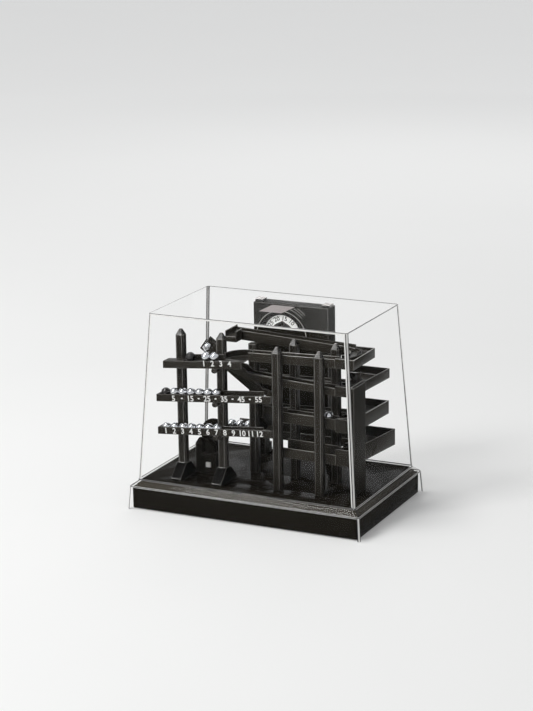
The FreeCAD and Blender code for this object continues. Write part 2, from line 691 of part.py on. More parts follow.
def return_tray(number, lane, deep=True):
    """Tray that turns the balls from a front track to a lane behind.

    A deep tray reaches back past its lane and flares outwards beyond the spine plate.
    """
    stem = "tray_" + number
    bottom, top, floor = (stem + end for end in ("_bottom", "_top", "_floor"))
    wall = "channel_wall"
    piece = Piece(stem, named=False)
    if deep:
        corner = "spine_left + spine_thickness + %s_flare" % stem
        back = stem + "_back"
        notch = lane[1] + " + plate_gap"
        plan = [
            (TRAY_LEFT, FRONT[0]),
            ("spine_left", FRONT[0]),
            ("spine_left", "spine_back"),
            ("spine_left + spine_thickness", "spine_back"),
            (corner, back),
            ("tray_inner_left", back),
            ("tray_inner_left + tray_slant", notch),
            (TRAY_LEFT, notch),
        ]
        inside = [
            (TRAY_LEFT + " - 1", FRONT[0] + " + " + wall),
            ("spine_left - " + wall, FRONT[0] + " + " + wall),
            ("spine_left - " + wall, "spine_back + " + wall),
            ("spine_left + spine_thickness - " + wall, "spine_back + " + wall),
            (corner + " - " + wall, back + " - " + wall),
            ("tray_inner_left + 2*" + wall, back + " - " + wall),
            ("tray_inner_left + tray_slant + " + wall, notch + " + " + wall),
            (TRAY_LEFT + " - 1", notch + " + " + wall),
        ]
    else:
        right = "spine_left + spine_thickness"
        plan = rectangle(TRAY_LEFT, right, FRONT[0], lane[1])
        inside = rectangle(
            TRAY_LEFT + " - 1", right + " - " + wall, FRONT[0] + " + " + wall, lane[1] + " - " + wall
        )
    piece.pad("XY", bottom, top, plan)
    piece.pocket("XY", floor, top, inside)
    piece.pocket("XY", bottom, floor + " - tray_floor", inside)

    outer = "((%s) - (%s))/2" % (lane[1], FRONT[0])
    centre = ("spine_left - %s - %s" % (wall, outer), "((%s) + (%s))/2" % (lane[1], FRONT[0]))
    parts = [piece.body]
    for radius in (outer, "(%s - %s + %s)" % (outer, CHANNEL, wall)):
        low = floor + " - tray_floor/2"
        high = top + " - channel_wall/2"
        ring = cut(
            rod("Z", centre, radius, low, high),
            rod("Z", centre, "%s - %s" % (radius, wall), low, high),
        )
        window = box((TRAY_LEFT, "spine_left"), (FRONT[0], lane[1]), (low, high))
        parts.append(common(ring, window))
    node("return_tray_" + number, fuse(parts))


def trays():
    """Four return trays: the top one shallow, the bottom one reaching back to the feed rail."""
    return_tray("one", BACK, deep=False)
    return_tray("two", BACK)
    return_tray("three", BACK)
    return_tray("four", FEED)


def minute_guide():
    """Quarter-round floor and fence that turn track one forward on to the minute rail."""
    centre = ("track_one_left", "post_front")
    reach = "(%s - post_front)" % FRONT[1]
    low = "guide_floor - channel_floor"
    disc = rod("Z", centre, reach, low, "guide_floor")
    fence = cut(
        rod("Z", centre, reach, low, "guide_top"),
        rod("Z", centre, reach + " - channel_wall", low, "guide_top"),
    )
    quarter = box(
        ("track_one_left - %s" % reach, "track_one_left"),
        ("post_front", FRONT[1]),
        (low, "guide_top"),
    )
    node("minute_guide", common(fuse([disc, fence]), quarter))


def rail_feeders():
    """Two slanted plates beside the third post."""
    made = []
    for top in ("five_feeder_top", "hour_feeder_top"):
        piece = Piece("feeder", named=False)
        side = [
            ("post_front", top + " - feeder_fall"),
            ("post_front + post_width", top),
            ("post_front + post_width", top + " + channel_floor"),
            ("post_front", top + " - feeder_fall + channel_floor"),
        ]
        edge = "post_c_x - post_width/2"
        piece.pad("YZ", edge + " - feeder_width", edge, side)
        made.append(piece.body)
    node("rail_feeders", fuse(made))


def pivot_height(name):
    """Height of a display rail's pivot, just under its sloping bottom edge."""
    edge = line_height(name + "_left", name + "_bottom", name + "_slope", "post_b_x")
    return "(%s - pivot_drop)" % edge


def display_rail(label, name, trough_right, wall_left, wall_right):
    """Tilting rail: fascia for the numerals, rolling floor, back wall and pivot boss."""
    piece = Piece(label)
    left, right, bottom, slope = (name + end for end in ("_left", "_right", "_bottom", "_slope"))
    front, back = RAIL

    def strip(first, last, low, high):
        start = line_height(left, bottom, slope, first)
        return band(first, last, start, slope, "-(%s)" % high, "-(%s)" % low)

    floor = name + "_floor"
    piece.pad("XZ", front, front + " + fascia_thickness", strip(left, right, "0", "fascia_height"))
    piece.pad("XZ", front, back, strip(left, trough_right, floor + " - channel_floor/2", floor))
    back_wall = strip(wall_left, wall_right, "0", floor + " + back_wall_rise")
    piece.pad("XZ", back + " - channel_wall", back, back_wall)
    piece.pad("XZ", front, back, strip(left, left + " + channel_wall", "0", "fascia_height"))
    if name == "minute":
        lid = strip(left, "minute_lid_end", "fascia_height - channel_wall", "fascia_height")
        piece.pad("XZ", front, back, lid)
    height = pivot_height(name)
    piece.pad("XZ", front, back, ("post_b_x", height, "pivot_boss"))
    piece.pocket("XZ", front, back, ("post_b_x", height, "pivot_radius + pivot_fit"))


def rail_ball(name, x):
    """Ball that lies on a display rail at x."""
    floor = line_height(name + "_left", name + "_bottom + " + name + "_floor", name + "_slope", x)
    height = "%s + (%s + ball_gap)/cos(%s_slope)" % (floor, BALL, name)
    return ball(x, RAIL_Y, height)


def display():
    """Three display rails with their pins, balls and counterweights."""
    display_rail("minute_rail", "minute", "minute_right", "minute_lid_end", "minute_wall_end")
    display_rail("five_minute_rail", "five", "five_trough_right", "five_left", "five_trough_right")
    display_rail("hour_rail", "hour", "hour_trough_right", "hour_left", "hour_trough_right")
    pins = []
    for name in ("minute", "five", "hour"):
        centre = ("post_b_x", pivot_height(name))
        tip = RAIL[0] + " - running_gap"
        shank = rod("Y", centre, "pivot_radius", tip + " - pivot_cap_length", "post_front")
        cap = rod("Y", centre, "pivot_cap", tip + " - pivot_cap_length", tip)
        pins.append(fuse([shank, cap]))
    node("pivot_pins", fuse(pins))
    counts = (("minute_balls", "minute", 2), ("five_minute_balls", "five", 6), ("hour_balls", "hour", 7))
    for label, name, count in counts:
        step = "(ball_diameter + ball_gap)*cos(%s_slope)" % name
        spots = ["%s_first_ball + %d*%s" % (name, index, step) for index in range(count)]
        node(label, fuse([rail_ball(name, x) for x in spots]))
    for label, name in (("minute_counterweight", "minute"), ("five_minute_counterweight", "five")):
        spot = "%s_first_ball - ball_diameter - %s_weight_gap" % (name, name)
        node(label, rail_ball(name, spot))


def waiting_balls():
    """Balls on the feed rail, in the cradle and on track three."""
    step = "(ball_diameter + ball_gap)"
    lift = "(%s + ball_gap)" % BALL
    made = [ball(PICK_X, "%s + %s" % (cradle_start(), lift), "%s + %s" % (FEED_FLOOR, lift))]
    made.append(ball(PICK_X, FEED_Y, "%s + %s" % (FEED_FLOOR, lift)))
    for index in (1, 2):
        x = "%s + %d*%s" % (PICK_X, index, step)
        floor = line_height(CRADLE[1], FEED_FLOOR, "feed_slope", x)
        made.append(ball(x, FEED_Y, "%s + %s" % (floor, lift)))
    x = "%s - %s" % (TRAY_LEFT, step)
    floor = line_height("track_three_left", "track_three_top - rail_depth", "track_three_slope", x)
    made.append(ball(x, FRONT_Y, "%s + %s + ball_gap" % (floor, lift)))
    node("waiting_balls", fuse(made))


def cradle_start():
    """Front edge of the cradle's trough, just behind the swing of the arm."""
    return "(%s + mouth_front_gap)" % ARM[1]


def pickup():
    """Cradle with two prongs and a round guard, and the pedestal with its short post."""
    start = cradle_start()
    under = FEED_FLOOR + " - channel_floor"
    cradle = Piece("pickup_cradle")
    cradle.pad("XY", under, "feed_top", rectangle(*CRADLE, start, FEED[1]))
    lane = rectangle(
        CRADLE[0] + " + channel_wall", CRADLE[1] + " - channel_wall",
        start + " - 1", FEED[1] + " - channel_wall",
    )
    entry = rectangle(
        CRADLE[1] + " - channel_wall - 1", CRADLE[1],
        FEED[0] + " + channel_wall", FEED[1] + " - channel_wall",
    )
    cradle.pocket("XY", FEED_FLOOR, "feed_top", lane)
    cradle.pocket("XY", FEED_FLOOR, "feed_top", entry)
    ring = (PICK_X, PICK_Z, "guard_radius")
    bore = (PICK_X, PICK_Z, "%s/2 - channel_wall" % CHANNEL)
    cradle.pad("XZ", start, start + " + guard_thickness", ring)
    cradle.pocket("XZ", start, start + " + guard_thickness", bore)
    stand = rectangle(PICK_X + " - guard_radius/2", PICK_X + " + guard_radius/2", "pedestal_top", under)
    cradle.pad("XZ", start, start + " + post_width", stand)

    near = "(scoop_strip/2 + prong_gap)"
    far = "(scoop_strip/2 + prong_gap + prong_thickness)"
    swing = "(arm_radius + %s + prong_clear)" % BALL
    below = "axle_z - sqrt(%s^2 - (%s + prong_reach - axle_x)^2)" % (swing, PICK_X)
    beside = "axle_x - sqrt(%s^2 - (axle_z - %s)^2)" % (swing, FEED_FLOOR)
    blade = [
        (PICK_X + " - prong_reach - prong_stop", "pedestal_top"),
        (PICK_X + " + prong_reach", "pedestal_top"),
        (PICK_X + " + prong_reach", below),
        (beside, FEED_FLOOR),
        (PICK_X + " - prong_reach", FEED_FLOOR),
        (PICK_X + " - prong_reach - prong_stop", FEED_FLOOR + " + prong_stop"),
    ]
    pedestal = Piece("pickup_pedestal")
    sides = rectangle(
        PICK_X + " - pedestal_width/2", PICK_X + " + pedestal_width/2",
        "pedestal_front", start + " + post_width",
    )
    pedestal.pad("XY", "floor_height", "pedestal_top", sides)
    pedestal.pad("XZ", "%s - %s" % (ARM_Y, far), "%s - %s" % (ARM_Y, near), blade)
    pedestal.pad("XZ", "%s + %s" % (ARM_Y, near), "%s + %s" % (ARM_Y, far), blade)
    left = PICK_X + " - pedestal_width/2 - post_width/2"
    stump = octagon("post_width/2", "post_width/2", "post_bevel", left, ARM_Y)
    pedestal.pad("XY", "floor_height", "short_post_tip - tip_height", stump)
    pedestal.pad("XY", "short_post_tip - tip_height", "short_post_tip", stump, taper="tip_taper")
    room = "(switch_size/2 + switch_gap)"
    height = "(switch_size/2 + switch_gap + switch_travel/2)"
    slot = rectangle(
        PICK_X + " - " + room, PICK_X + " + " + room, "switch_z - " + height, "switch_z + " + height
    )
    pedestal.pocket("XZ", "pedestal_front", "pedestal_front + switch_depth", slot)
    knob = box(
        (PICK_X + " - switch_size/2", PICK_X + " + switch_size/2"),
        ("pedestal_front - switch_rise", "pedestal_front + switch_depth - switch_gap"),
        ("switch_z + switch_travel/2 - switch_size/2", "switch_z + switch_travel/2 + switch_size/2"),
    )
    node("power_switch", knob)


def lift_arm():
    """Arm with its scoop, drawn pointing left and then turned up to its resting angle."""
    arm = Piece("lift_arm")
    half = "arm_thickness/2"
    inner = "-(arm_radius - %s - ball_gap)" % BALL
    outer = "-(arm_radius + %s + ball_gap)" % BALL
    seat = "-(%s + ball_gap)" % BALL
    low = seat + " - scoop_wall"
    arm.pad("XZ", "-" + half, half, ("0", "0", "hub_radius"))
    bar = rectangle(inner + " + 1", "0", "-arm_bar_width/2", "arm_bar_width/2")
    arm.pad("XZ", "-" + half, half, bar)
    block = rectangle(inner, inner + " + scoop_block", low, "scoop_block_rise")
    arm.pad("XZ", "-scoop_block_width/2", "scoop_block_width/2", block)
    strip = [
        (outer + " - scoop_wall", low),
        (inner + " + 1", low),
        (inner + " + 1", seat),
        (outer, seat),
        (outer, "lip_height"),
        (outer + " - scoop_wall", "lip_height"),
    ]
    arm.pad("XZ", "-scoop_strip/2", "scoop_strip/2", strip)
    arm.pocket("XZ", "-" + half, half, ("0", "0", "shaft_radius"))
    arm.place("axle_x", ARM_Y, "axle_z", "arm_rest")
    x = "axle_x - arm_radius*cos(arm_rest)"
    z = "axle_z + arm_radius*sin(arm_rest)"
    node("lift_ball", ball(x, ARM_Y, z))
    shaft_end = "housing_back - housing_wall - 1"
    shaft = rod("Y", ("axle_x", "axle_z"), "shaft_radius", ARM_Y + " - " + half, shaft_end)
    node("lift_shaft", shaft)


# The wheels turn in one plane behind the seconds disc.
DISC_FRONT = "(housing_front + housing_wall + disc_gap)"
GEAR_FRONT = "(%s + disc_thickness)" % DISC_FRONT
GEAR_BACK = "(%s + gear_thickness)" % GEAR_FRONT
LINE = "(atan2(dial_z - axle_z; dial_x - axle_x)/1 deg)"
PINION_X = "(axle_x + gear_module*(wheel_teeth + pinion_teeth)/2*cos(%s - pinion_turn))" % LINE
PINION_Z = "(axle_z + gear_module*(wheel_teeth + pinion_teeth)/2*sin(%s - pinion_turn))" % LINE


def gear(label, teeth, bore, x, z, turn):
    """Spur wheel made from one tooth and a polar pattern."""
    piece = Piece(label)
    root = "gear_module*(%s/2 - 1.15)" % teeth
    tip = "gear_module*(%s/2 + 0.8)" % teeth
    disc = piece.pad("XZ", "-gear_thickness/2", "gear_thickness/2", ("0", "0", root))
    tooth = [
        ("%s - gear_module/2" % root, "-tooth_root_width/2"),
        (tip, "-tooth_tip_width/2"),
        (tip, "tooth_tip_width/2"),
        ("%s - gear_module/2" % root, "tooth_root_width/2"),
    ]
    one = piece.pad("XZ", "-gear_thickness/2", "gear_thickness/2", tooth)
    pattern = piece.body.newObject("PartDesign::PolarPattern", label + "_teeth")
    pattern.Originals = [one]
    pattern.Axis = (disc.Profile[0], ["N_Axis"])
    pattern.Angle = 360
    pattern.setExpression("Occurrences", bound(teeth))
    piece.body.Tip = pattern
    piece.pocket("XZ", "-gear_thickness/2", "gear_thickness/2", ("0", "0", bore))
    piece.place(x, GEAR_FRONT + " + gear_thickness/2", z, turn)
    return piece


def clockwork():
    """Arm wheel, idler, seconds disc and motor, in mesh along the line from axle to dial."""
    idler_x = "(axle_x + (dial_x - axle_x)/2)"
    idler_z = "(axle_z + (dial_z - axle_z)/2)"
    bore = "gear_pin + gear_fit"
    gear("arm_gear", "wheel_teeth", "shaft_radius", "axle_x", "axle_z", "-(%s)" % LINE)
    gear("idler_gear", "idler_teeth", bore, idler_x, idler_z, "-(%s) + 180/idler_teeth" % LINE)
    gear("motor_pinion", "pinion_teeth", "gear_pin", PINION_X, PINION_Z,
         "-(%s) + pinion_turn + 180 + 180/pinion_teeth" % LINE)
    wheel = gear("disc_gear", "wheel_teeth", bore, "dial_x", "dial_z", "-(%s) + 180" % LINE)
    disc = cut(
        rod("Y", ("dial_x", "dial_z"), "disc_radius", DISC_FRONT, GEAR_FRONT),
        rod("Y", ("dial_x", "dial_z"), bore, DISC_FRONT, GEAR_FRONT),
    )
    del nodes["disc_gear"]
    node("seconds_disc", fuse([wheel.body, disc]))
    inside = "housing_front + housing_wall"
    pins = [rod("Y", centre, "gear_pin", inside, GEAR_BACK + " + gear_gap")
            for centre in ((idler_x, idler_z), ("dial_x", "dial_z"))]
    node("gear_axles", fuse(pins))
    back = "housing_back - housing_wall"
    can = rod("Y", (PINION_X, PINION_Z), "motor_radius", GEAR_BACK + " + gear_gap", back)
    spindle = rod("Y", (PINION_X, PINION_Z), "gear_pin - ball_gap", GEAR_FRONT, GEAR_BACK + " + gear_gap")
    node("gear_motor", fuse([can, spindle]))


def housing_front():
    """Front shell with the arched window over the seconds disc."""
    shell = Piece("housing_front")
    outline = rectangle("housing_left", "housing_right", "housing_bottom", "housing_top")
    split = "housing_back - housing_wall"
    shell.pad("XZ", "housing_front", split, outline)
    inside = rectangle(
        "housing_left + housing_wall", "housing_right - housing_wall",
        "housing_bottom + housing_wall", "housing_top - housing_wall",
    )
    face = "housing_front + housing_wall"
    shell.pocket("XZ", face, split, inside)
    shell.pocket("XZ", "housing_front", face, ("dial_x", "dial_z", "dial_outer"))
    shell.pad("XZ", "housing_front", face, ("dial_x", "dial_z", "dial_inner"))
    lower = rectangle(
        "dial_x - dial_outer - 1", "dial_x + dial_outer + 1", "dial_z - dial_outer - 1", "dial_z + dial_sill",
    )
    shell.pad("XZ", "housing_front", face, lower)
    crest = "dial_z + dial_inner + pointer_rise"
    pointer = [
        ("dial_x - pointer_width/2", "dial_z + dial_inner - 1"),
        ("dial_x + pointer_width/2", "dial_z + dial_inner - 1"),
        ("dial_x", crest),
    ]
    shell.pad("XZ", "housing_front", face, pointer)
    shell.pocket("XZ", "housing_front", face, ("axle_x", "axle_z", "shaft_radius + shaft_fit"))


def housing_rear():
    """Rear cover with the shaft boss, board standoffs and two legs down to the base."""
    back = "housing_back - housing_wall"
    rear = Piece("housing_rear")
    outline = rectangle("housing_left", "housing_right", "housing_bottom", "housing_top")
    rear.pad("XZ", back, "housing_back", outline)
    shaft_end = back + " - 1"
    rear.pad("XZ", GEAR_BACK + " + gear_gap", back, ("axle_x", "axle_z", "2*shaft_radius"))
    bore = ("axle_x", "axle_z", "shaft_radius + shaft_fit")
    rear.pocket("XZ", GEAR_BACK + " + gear_gap", shaft_end, bore)
    posts_x = ["%s*board_width/3" % side for side in (-1, 1)]
    studs = [(x, "board_z", "gear_pin") for x in posts_x]
    rear.pad("XZ", back + " - board_gap", back, *studs)
    front = "housing_back - leg_depth"
    for x in leg_centres():
        left, right = (x + " - leg_width/2", x + " + leg_width/2")
        leg = rectangle(left, right, front, "housing_back")
        foot = rectangle(left, right, front, front + " + leg_foot")
        rear.pad("XY", "floor_height", "housing_bottom", leg)
        rear.pad("XY", "floor_height", "floor_height + foot_thickness + screw_grip", foot)
    holes = [(x, "housing_back + (leg_foot - leg_depth)/2", "screw_radius") for x in leg_centres()]
    rear.pocket("XY", "floor_height", "floor_height + screw_grip", *holes)


def housing_trim():
    """Clips on the top corners, bare label plate and circuit board."""
    middle = "(housing_front + housing_back)/2"
    clips = []
    for edge in ("housing_left", "housing_right - clip_width"):
        foot = box(
            (edge, edge + " + clip_width"),
            (middle + " - clip_depth/2", middle + " + clip_depth/2"),
            ("housing_top", "housing_top + clip_height/2"),
        )
        bend = (middle + " - clip_depth/2 + clip_height/2", "housing_top + clip_height/2")
        roll = rod("X", bend, "clip_height/2", edge, edge + " + clip_width")
        clips.append(fuse([foot, roll]))
    node("housing_clips", fuse(clips))
    plate = Piece("label_plate")
    shape = [
        ("dial_x - label_near", "dial_z + label_low"),
        ("dial_x", "dial_z + label_low"),
        ("dial_x + label_lean", "dial_z + label_high"),
        ("dial_x + label_lean - label_near", "dial_z + label_high"),
    ]
    plate.pad("XZ", "housing_front - label_thickness", "housing_front", shape)
    back = "housing_back - housing_wall - board_gap"
    board = box(
        ("-board_width/2", "board_width/2"),
        (back + " - board_thickness", back),
        ("board_z - board_height/2", "board_z + board_height/2"),
    )
    node("circuit_board", board)


clear_cover()
base_shell()
bottom_plate()
battery_bay()
base_fittings()
posts()
front_tracks()
back_tracks()
trays()
minute_guide()
rail_feeders()
display()
waiting_balls()
pickup()
lift_arm()
clockwork()
housing_front()
housing_rear()
housing_trim()

doc.recompute()
failed = [item.Name for item in doc.Objects if {"Invalid", "Error"} & set(item.State)]
for made in doc.Objects:
    if made.TypeId == "PartDesign::Pocket" and made.BaseFeature is not None:
        if made.Shape.Volume > made.BaseFeature.Shape.Volume - 1e-3:
            failed.append(made.Name + " cuts nothing")
for label, made in nodes.items():
    if made.Shape.isNull() or not made.Shape.isValid():
        failed.append(label)
if failed:
    raise RuntimeError("not built: " + ", ".join(failed))

os.makedirs("parts", exist_ok=True)
for label, made in nodes.items():
    made.Shape.exportStep("parts/%s.step" % label)
print("wrote", len(nodes), "parts")
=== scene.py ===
import json
import math

import bmesh
import bpy
from mathutils import Matrix, Vector


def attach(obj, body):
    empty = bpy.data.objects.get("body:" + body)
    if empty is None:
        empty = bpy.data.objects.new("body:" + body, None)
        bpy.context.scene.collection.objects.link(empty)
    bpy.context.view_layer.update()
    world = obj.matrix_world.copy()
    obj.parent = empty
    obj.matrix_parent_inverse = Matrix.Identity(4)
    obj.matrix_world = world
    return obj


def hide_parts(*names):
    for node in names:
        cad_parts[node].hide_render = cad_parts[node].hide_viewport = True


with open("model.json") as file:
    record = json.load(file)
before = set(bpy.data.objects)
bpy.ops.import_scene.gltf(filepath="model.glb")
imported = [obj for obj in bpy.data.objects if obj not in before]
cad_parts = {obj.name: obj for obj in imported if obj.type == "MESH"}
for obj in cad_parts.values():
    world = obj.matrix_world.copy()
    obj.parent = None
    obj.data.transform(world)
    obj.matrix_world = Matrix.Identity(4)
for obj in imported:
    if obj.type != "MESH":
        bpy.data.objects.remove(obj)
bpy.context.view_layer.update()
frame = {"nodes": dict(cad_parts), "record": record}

# Camera, floor and light. The clock stands on a pale seamless floor, seen from the front and
# a little to its right. One broad lamp stands high at the left, with weaker ones around it.
CAMERA_SIDE = math.radians(25.78)
CAMERA_RISE = math.radians(14.98)
CAMERA_ROLL = math.radians(-0.857)
CAMERA_REACH = 2.1804
CAMERA_AIM = Vector((-0.00928, 0.0, 0.1531))
CAMERA_LENS = 145.6
CAMERA_SENSOR = 36.0

camera_data = bpy.data.cameras.new("camera")
camera_data.sensor_fit = "HORIZONTAL"
camera_data.sensor_width = CAMERA_SENSOR
camera_data.lens = CAMERA_LENS
camera = bpy.data.objects.new("camera", camera_data)
bpy.context.scene.collection.objects.link(camera)
away = Vector((
    math.sin(CAMERA_SIDE) * math.cos(CAMERA_RISE),
    -math.cos(CAMERA_SIDE) * math.cos(CAMERA_RISE),
    math.sin(CAMERA_RISE),
))
camera.location = CAMERA_AIM + CAMERA_REACH * away
facing = away.to_track_quat("Z", "Y").to_matrix().to_4x4()
camera.rotation_euler = (facing @ Matrix.Rotation(CAMERA_ROLL, 4, "Z")).to_euler()
bpy.context.scene.camera = camera

bpy.context.scene.view_settings.view_transform = "Standard"


class Signal:
    """An output socket of a material; arithmetic on it adds Math nodes."""

    def __init__(self, finish, socket):
        self.finish = finish
        self.socket = socket

    def join(self, operation, other):
        settings = {"operation": operation}
        return self.finish.add("ShaderNodeMath", settings, {0: self, 1: other})

    def __add__(self, other):
        return self.join("ADD", other)

    def __mul__(self, other):
        return self.join("MULTIPLY", other)

    __radd__ = __add__
    __rmul__ = __mul__


class Finish:
    """A material being made: constants go on the shader's own sockets, signals are linked."""

    def __init__(self, name, **constants):
        self.material = bpy.data.materials.new(name)
        self.material.use_nodes = True
        self.tree = self.material.node_tree
        self.shader = self.tree.nodes["Principled BSDF"]
        for socket, number in constants.items():
            self.shader.inputs[socket.replace("_", " ")].default_value = number

    def add(self, kind, settings=None, inputs=None, output=0):
        """Any node: its settings first, then the values or links of its sockets."""
        made = self.tree.nodes.new(kind)
        for key, setting in (settings or {}).items():
            setattr(made, key, setting)
        for key, given in (inputs or {}).items():
            self.feed(made.inputs[key], given)
        return Signal(self, made.outputs[output])

    def feed(self, socket, given):
        """Link a signal, or set a plain value."""
        if isinstance(given, Signal):
            self.tree.links.new(given.socket, socket)
        else:
            socket.default_value = given

    def place(self, scale=(1.0, 1.0, 1.0)):
        """Object coordinates, stretched."""
        spot = self.add("ShaderNodeTexCoord", output="Object")
        return self.add("ShaderNodeMapping", None, {"Vector": spot, "Scale": scale})

    def noise(self, scale, detail=3.0, rough=0.5, stretch=(1.0, 1.0, 1.0)):
        """Cloudy pattern between 0 and 1."""
        inputs = {
            "Vector": self.place(stretch), "Scale": scale, "Detail": detail, "Roughness": rough,
        }
        return self.add("ShaderNodeTexNoise", None, inputs, "Fac")

    def band(self, signal, low, high):
        """Signal stretched so that low becomes 0 and high becomes 1."""
        inputs = {"Value": signal, "From Min": low, "From Max": high}
        return self.add("ShaderNodeMapRange", {"clamp": True}, inputs)

    def blend(self, factor, first, second):
        """Colour between two colours."""
        inputs = {"Factor": factor, 6: opaque(first), 7: opaque(second)}
        return self.add("ShaderNodeMix", {"data_type": "RGBA"}, inputs, 2)

    def bump(self, height, strength, distance):
        """Fine relief on the surface."""
        inputs = {"Height": height, "Strength": strength, "Distance": distance}
        return self.add("ShaderNodeBump", None, inputs)

    def seen(self):
        """One for rays from the eye, straight, mirrored or through something clear."""
        rays = [
            self.add("ShaderNodeLightPath", output=kind)
            for kind in ("Is Camera Ray", "Is Glossy Ray", "Is Transmission Ray")
        ]
        return self.band(rays[0] + rays[1] + rays[2], 0.0, 1.0)

    def varies(self, **signals):
        """Signals that feed the shader."""
        for socket, signal in signals.items():
            self.feed(self.shader.inputs[socket.replace("_", " ")], signal)
        return self.material


def opaque(colour):
    """A plain colour with full alpha; a signal stays as it is."""
    return colour if isinstance(colour, Signal) else (*colour, 1.0)


FLOOR_HALF = 15.0
FLOOR_GREY = (0.74, 0.74, 0.73)
FLOOR_LIGHT = (0.77, 0.77, 0.76)
GLOW_NEAR = 0.14
GLOW_FAR = 0.38
GLOW_START = 0.6
GLOW_END = 3.0

floor_mesh = bpy.data.meshes.new("floor")
grid = bmesh.new()
bmesh.ops.create_grid(grid, x_segments=1, y_segments=1, size=FLOOR_HALF)
grid.to_mesh(floor_mesh)
grid.free()
floor = bpy.data.objects.new("floor", floor_mesh)
bpy.context.scene.collection.objects.link(floor)
paper = Finish("floor paper", Roughness=0.9, Emission_Strength=1.0)
paper_tone = paper.blend(paper.noise(3.0, 4.0), FLOOR_GREY, FLOOR_LIGHT)
reach = paper.add("ShaderNodeVectorMath", {"operation": "LENGTH"}, {0: paper.place()}, "Value")
distance = paper.band(reach, GLOW_START, GLOW_END)
glow = paper.seen() * (distance * (GLOW_FAR - GLOW_NEAR) + GLOW_NEAR)
floor_mesh.materials.append(paper.varies(Base_Color=paper_tone, Emission_Color=glow))

LAMP_TARGET = Vector((0.0, 0.0, 0.1))
LAMPS = [
    ("key lamp", (-1.2, -1.9, 1.8), 0.8, 30.0),
    ("top lamp", (-0.75, -0.35, 2.1), 0.8, 20.0),
    ("back lamp", (-0.6, 2.1, 1.3), 1.2, 5.0),
]
for lamp_name, spot, size, power in LAMPS:
    lamp_data = bpy.data.lights.new(lamp_name, "AREA")
    lamp_data.size = size
    lamp_data.energy = power
    lamp = bpy.data.objects.new(lamp_name, lamp_data)
    lamp.location = spot
    lamp.rotation_euler = (Vector(spot) - LAMP_TARGET).to_track_quat("Z", "Y").to_euler()
    bpy.context.scene.collection.objects.link(lamp)

SKY_COLOUR = (0.97, 0.985, 1.0, 1.0)
SKY_LIGHT = 0.36
SKY_SEEN = 0.70
world = bpy.data.worlds.new("studio")
world.use_nodes = True
sky = world.node_tree
backdrop = sky.nodes["Background"]
backdrop.inputs["Color"].default_value = SKY_COLOUR
rays = sky.nodes.new("ShaderNodeLightPath")
pale = sky.nodes.new("ShaderNodeMix")
pale.inputs["A"].default_value = SKY_LIGHT
pale.inputs["B"].default_value = SKY_SEEN
straight = rays.outputs["Is Camera Ray"]
for kind in ("Is Glossy Ray", "Is Transmission Ray"):
    either = sky.nodes.new("ShaderNodeMath")
    either.operation = "MAXIMUM"
    sky.links.new(straight, either.inputs[0])
    sky.links.new(rays.outputs[kind], either.inputs[1])
    straight = either.outputs[0]
sky.links.new(straight, pale.inputs["Factor"])
sky.links.new(pale.outputs[0], backdrop.inputs["Strength"])
bpy.context.scene.world = world


# Black mouldings. Posts, side plate, tracks, ramp, chute, trays, cradle and feeders are moulded
# in black polystyrene with a satin face. Their sharp edges carry the small round that a mould
# leaves, and they are screwed or plugged together. The rounds are painted lighter as a painted
# highlight, the tops of the track and tray walls carry a stronger one, and the posts' tips carry
# painted highlight and painted shade on their facets.
MM = 0.001
ROUNDING = 0.36 * MM
MERGE = 0.01 * MM
FLAT_LIMIT = math.radians(0.6)
EDGE_LIMIT = math.radians(28)
FINE_RELIEF = 0.004 * MM
RECORD = frame["record"]
BODY_OF = {node: body for body, held in RECORD["behaviour"]["bodies"].items() for node in held}
SLOT_OF = {row["node"]: row["material_slot"] for row in RECORD["subparts"]}


def shaded(tone, share):
    """A colour made darker or lighter."""
    return tuple(share * part for part in tone)


def black_plastic(name, colour, rough, relief, coat, gloss):
    """Satin black moulding: faint flow marks, fine grain and a little dust."""
    finish = Finish(name, IOR=1.50, Coat_Roughness=0.12, Specular_IOR_Level=gloss)
    flow = finish.noise(26.0, 4.0, stretch=(1.0, 1.0, 0.35))
    haze = finish.noise(70.0, 5.0, 0.65)
    tone = finish.blend(flow, shaded(colour, 0.75), colour)
    dusty = finish.band(haze, 0.62, 0.85) * 0.3
    tone = finish.blend(dusty, tone, shaded(colour, 1.8))
    if coat:
        finish.varies(Coat_Weight=finish.band(flow, 0.35, 0.65) * coat)
    if relief:
        grain = finish.noise(650.0, 2.0)
        finish.varies(Normal=finish.bump(grain, relief, FINE_RELIEF))
    return finish.varies(
        Base_Color=tone, Roughness=finish.band(haze, 0.3, 0.7) * 0.12 + rough
    )


def worn_edge(name, tone, gloss=1.0):
    """Rounded edges and facets of a moulding, painted a little brighter than its faces as a painted
    highlight, mottled at random.
    """
    finish = Finish(name, IOR=1.50, Roughness=0.25, Specular_IOR_Level=gloss)
    rub = finish.noise(60.0, 4.0, 0.6)
    return finish.varies(
        Base_Color=finish.blend(finish.band(rub, 0.35, 0.65), shaded(tone, 0.5), tone),
        Normal=finish.bump(rub, 0.1, FINE_RELIEF),
    )


SATIN_BLACK = black_plastic(
    "satin black plastic", (0.027, 0.0238, 0.0185), rough=0.25, relief=0.35, coat=0.03, gloss=0.08
)
TRACK_BLACK = black_plastic(
    "track black plastic", (0.037, 0.0325, 0.025), rough=0.25, relief=0.35, coat=0.03, gloss=0.08
)
DEEP_BLACK = black_plastic(
    "deep black plastic", (0.018, 0.016, 0.012), rough=0.3, relief=0.35, coat=0.0, gloss=0.02
)
# Painted highlight for the tip facets of the posts that do not face right.
HIGHLIGHT_FACET = worn_edge("painted highlight facet", (0.09, 0.086, 0.079), gloss=0.2)
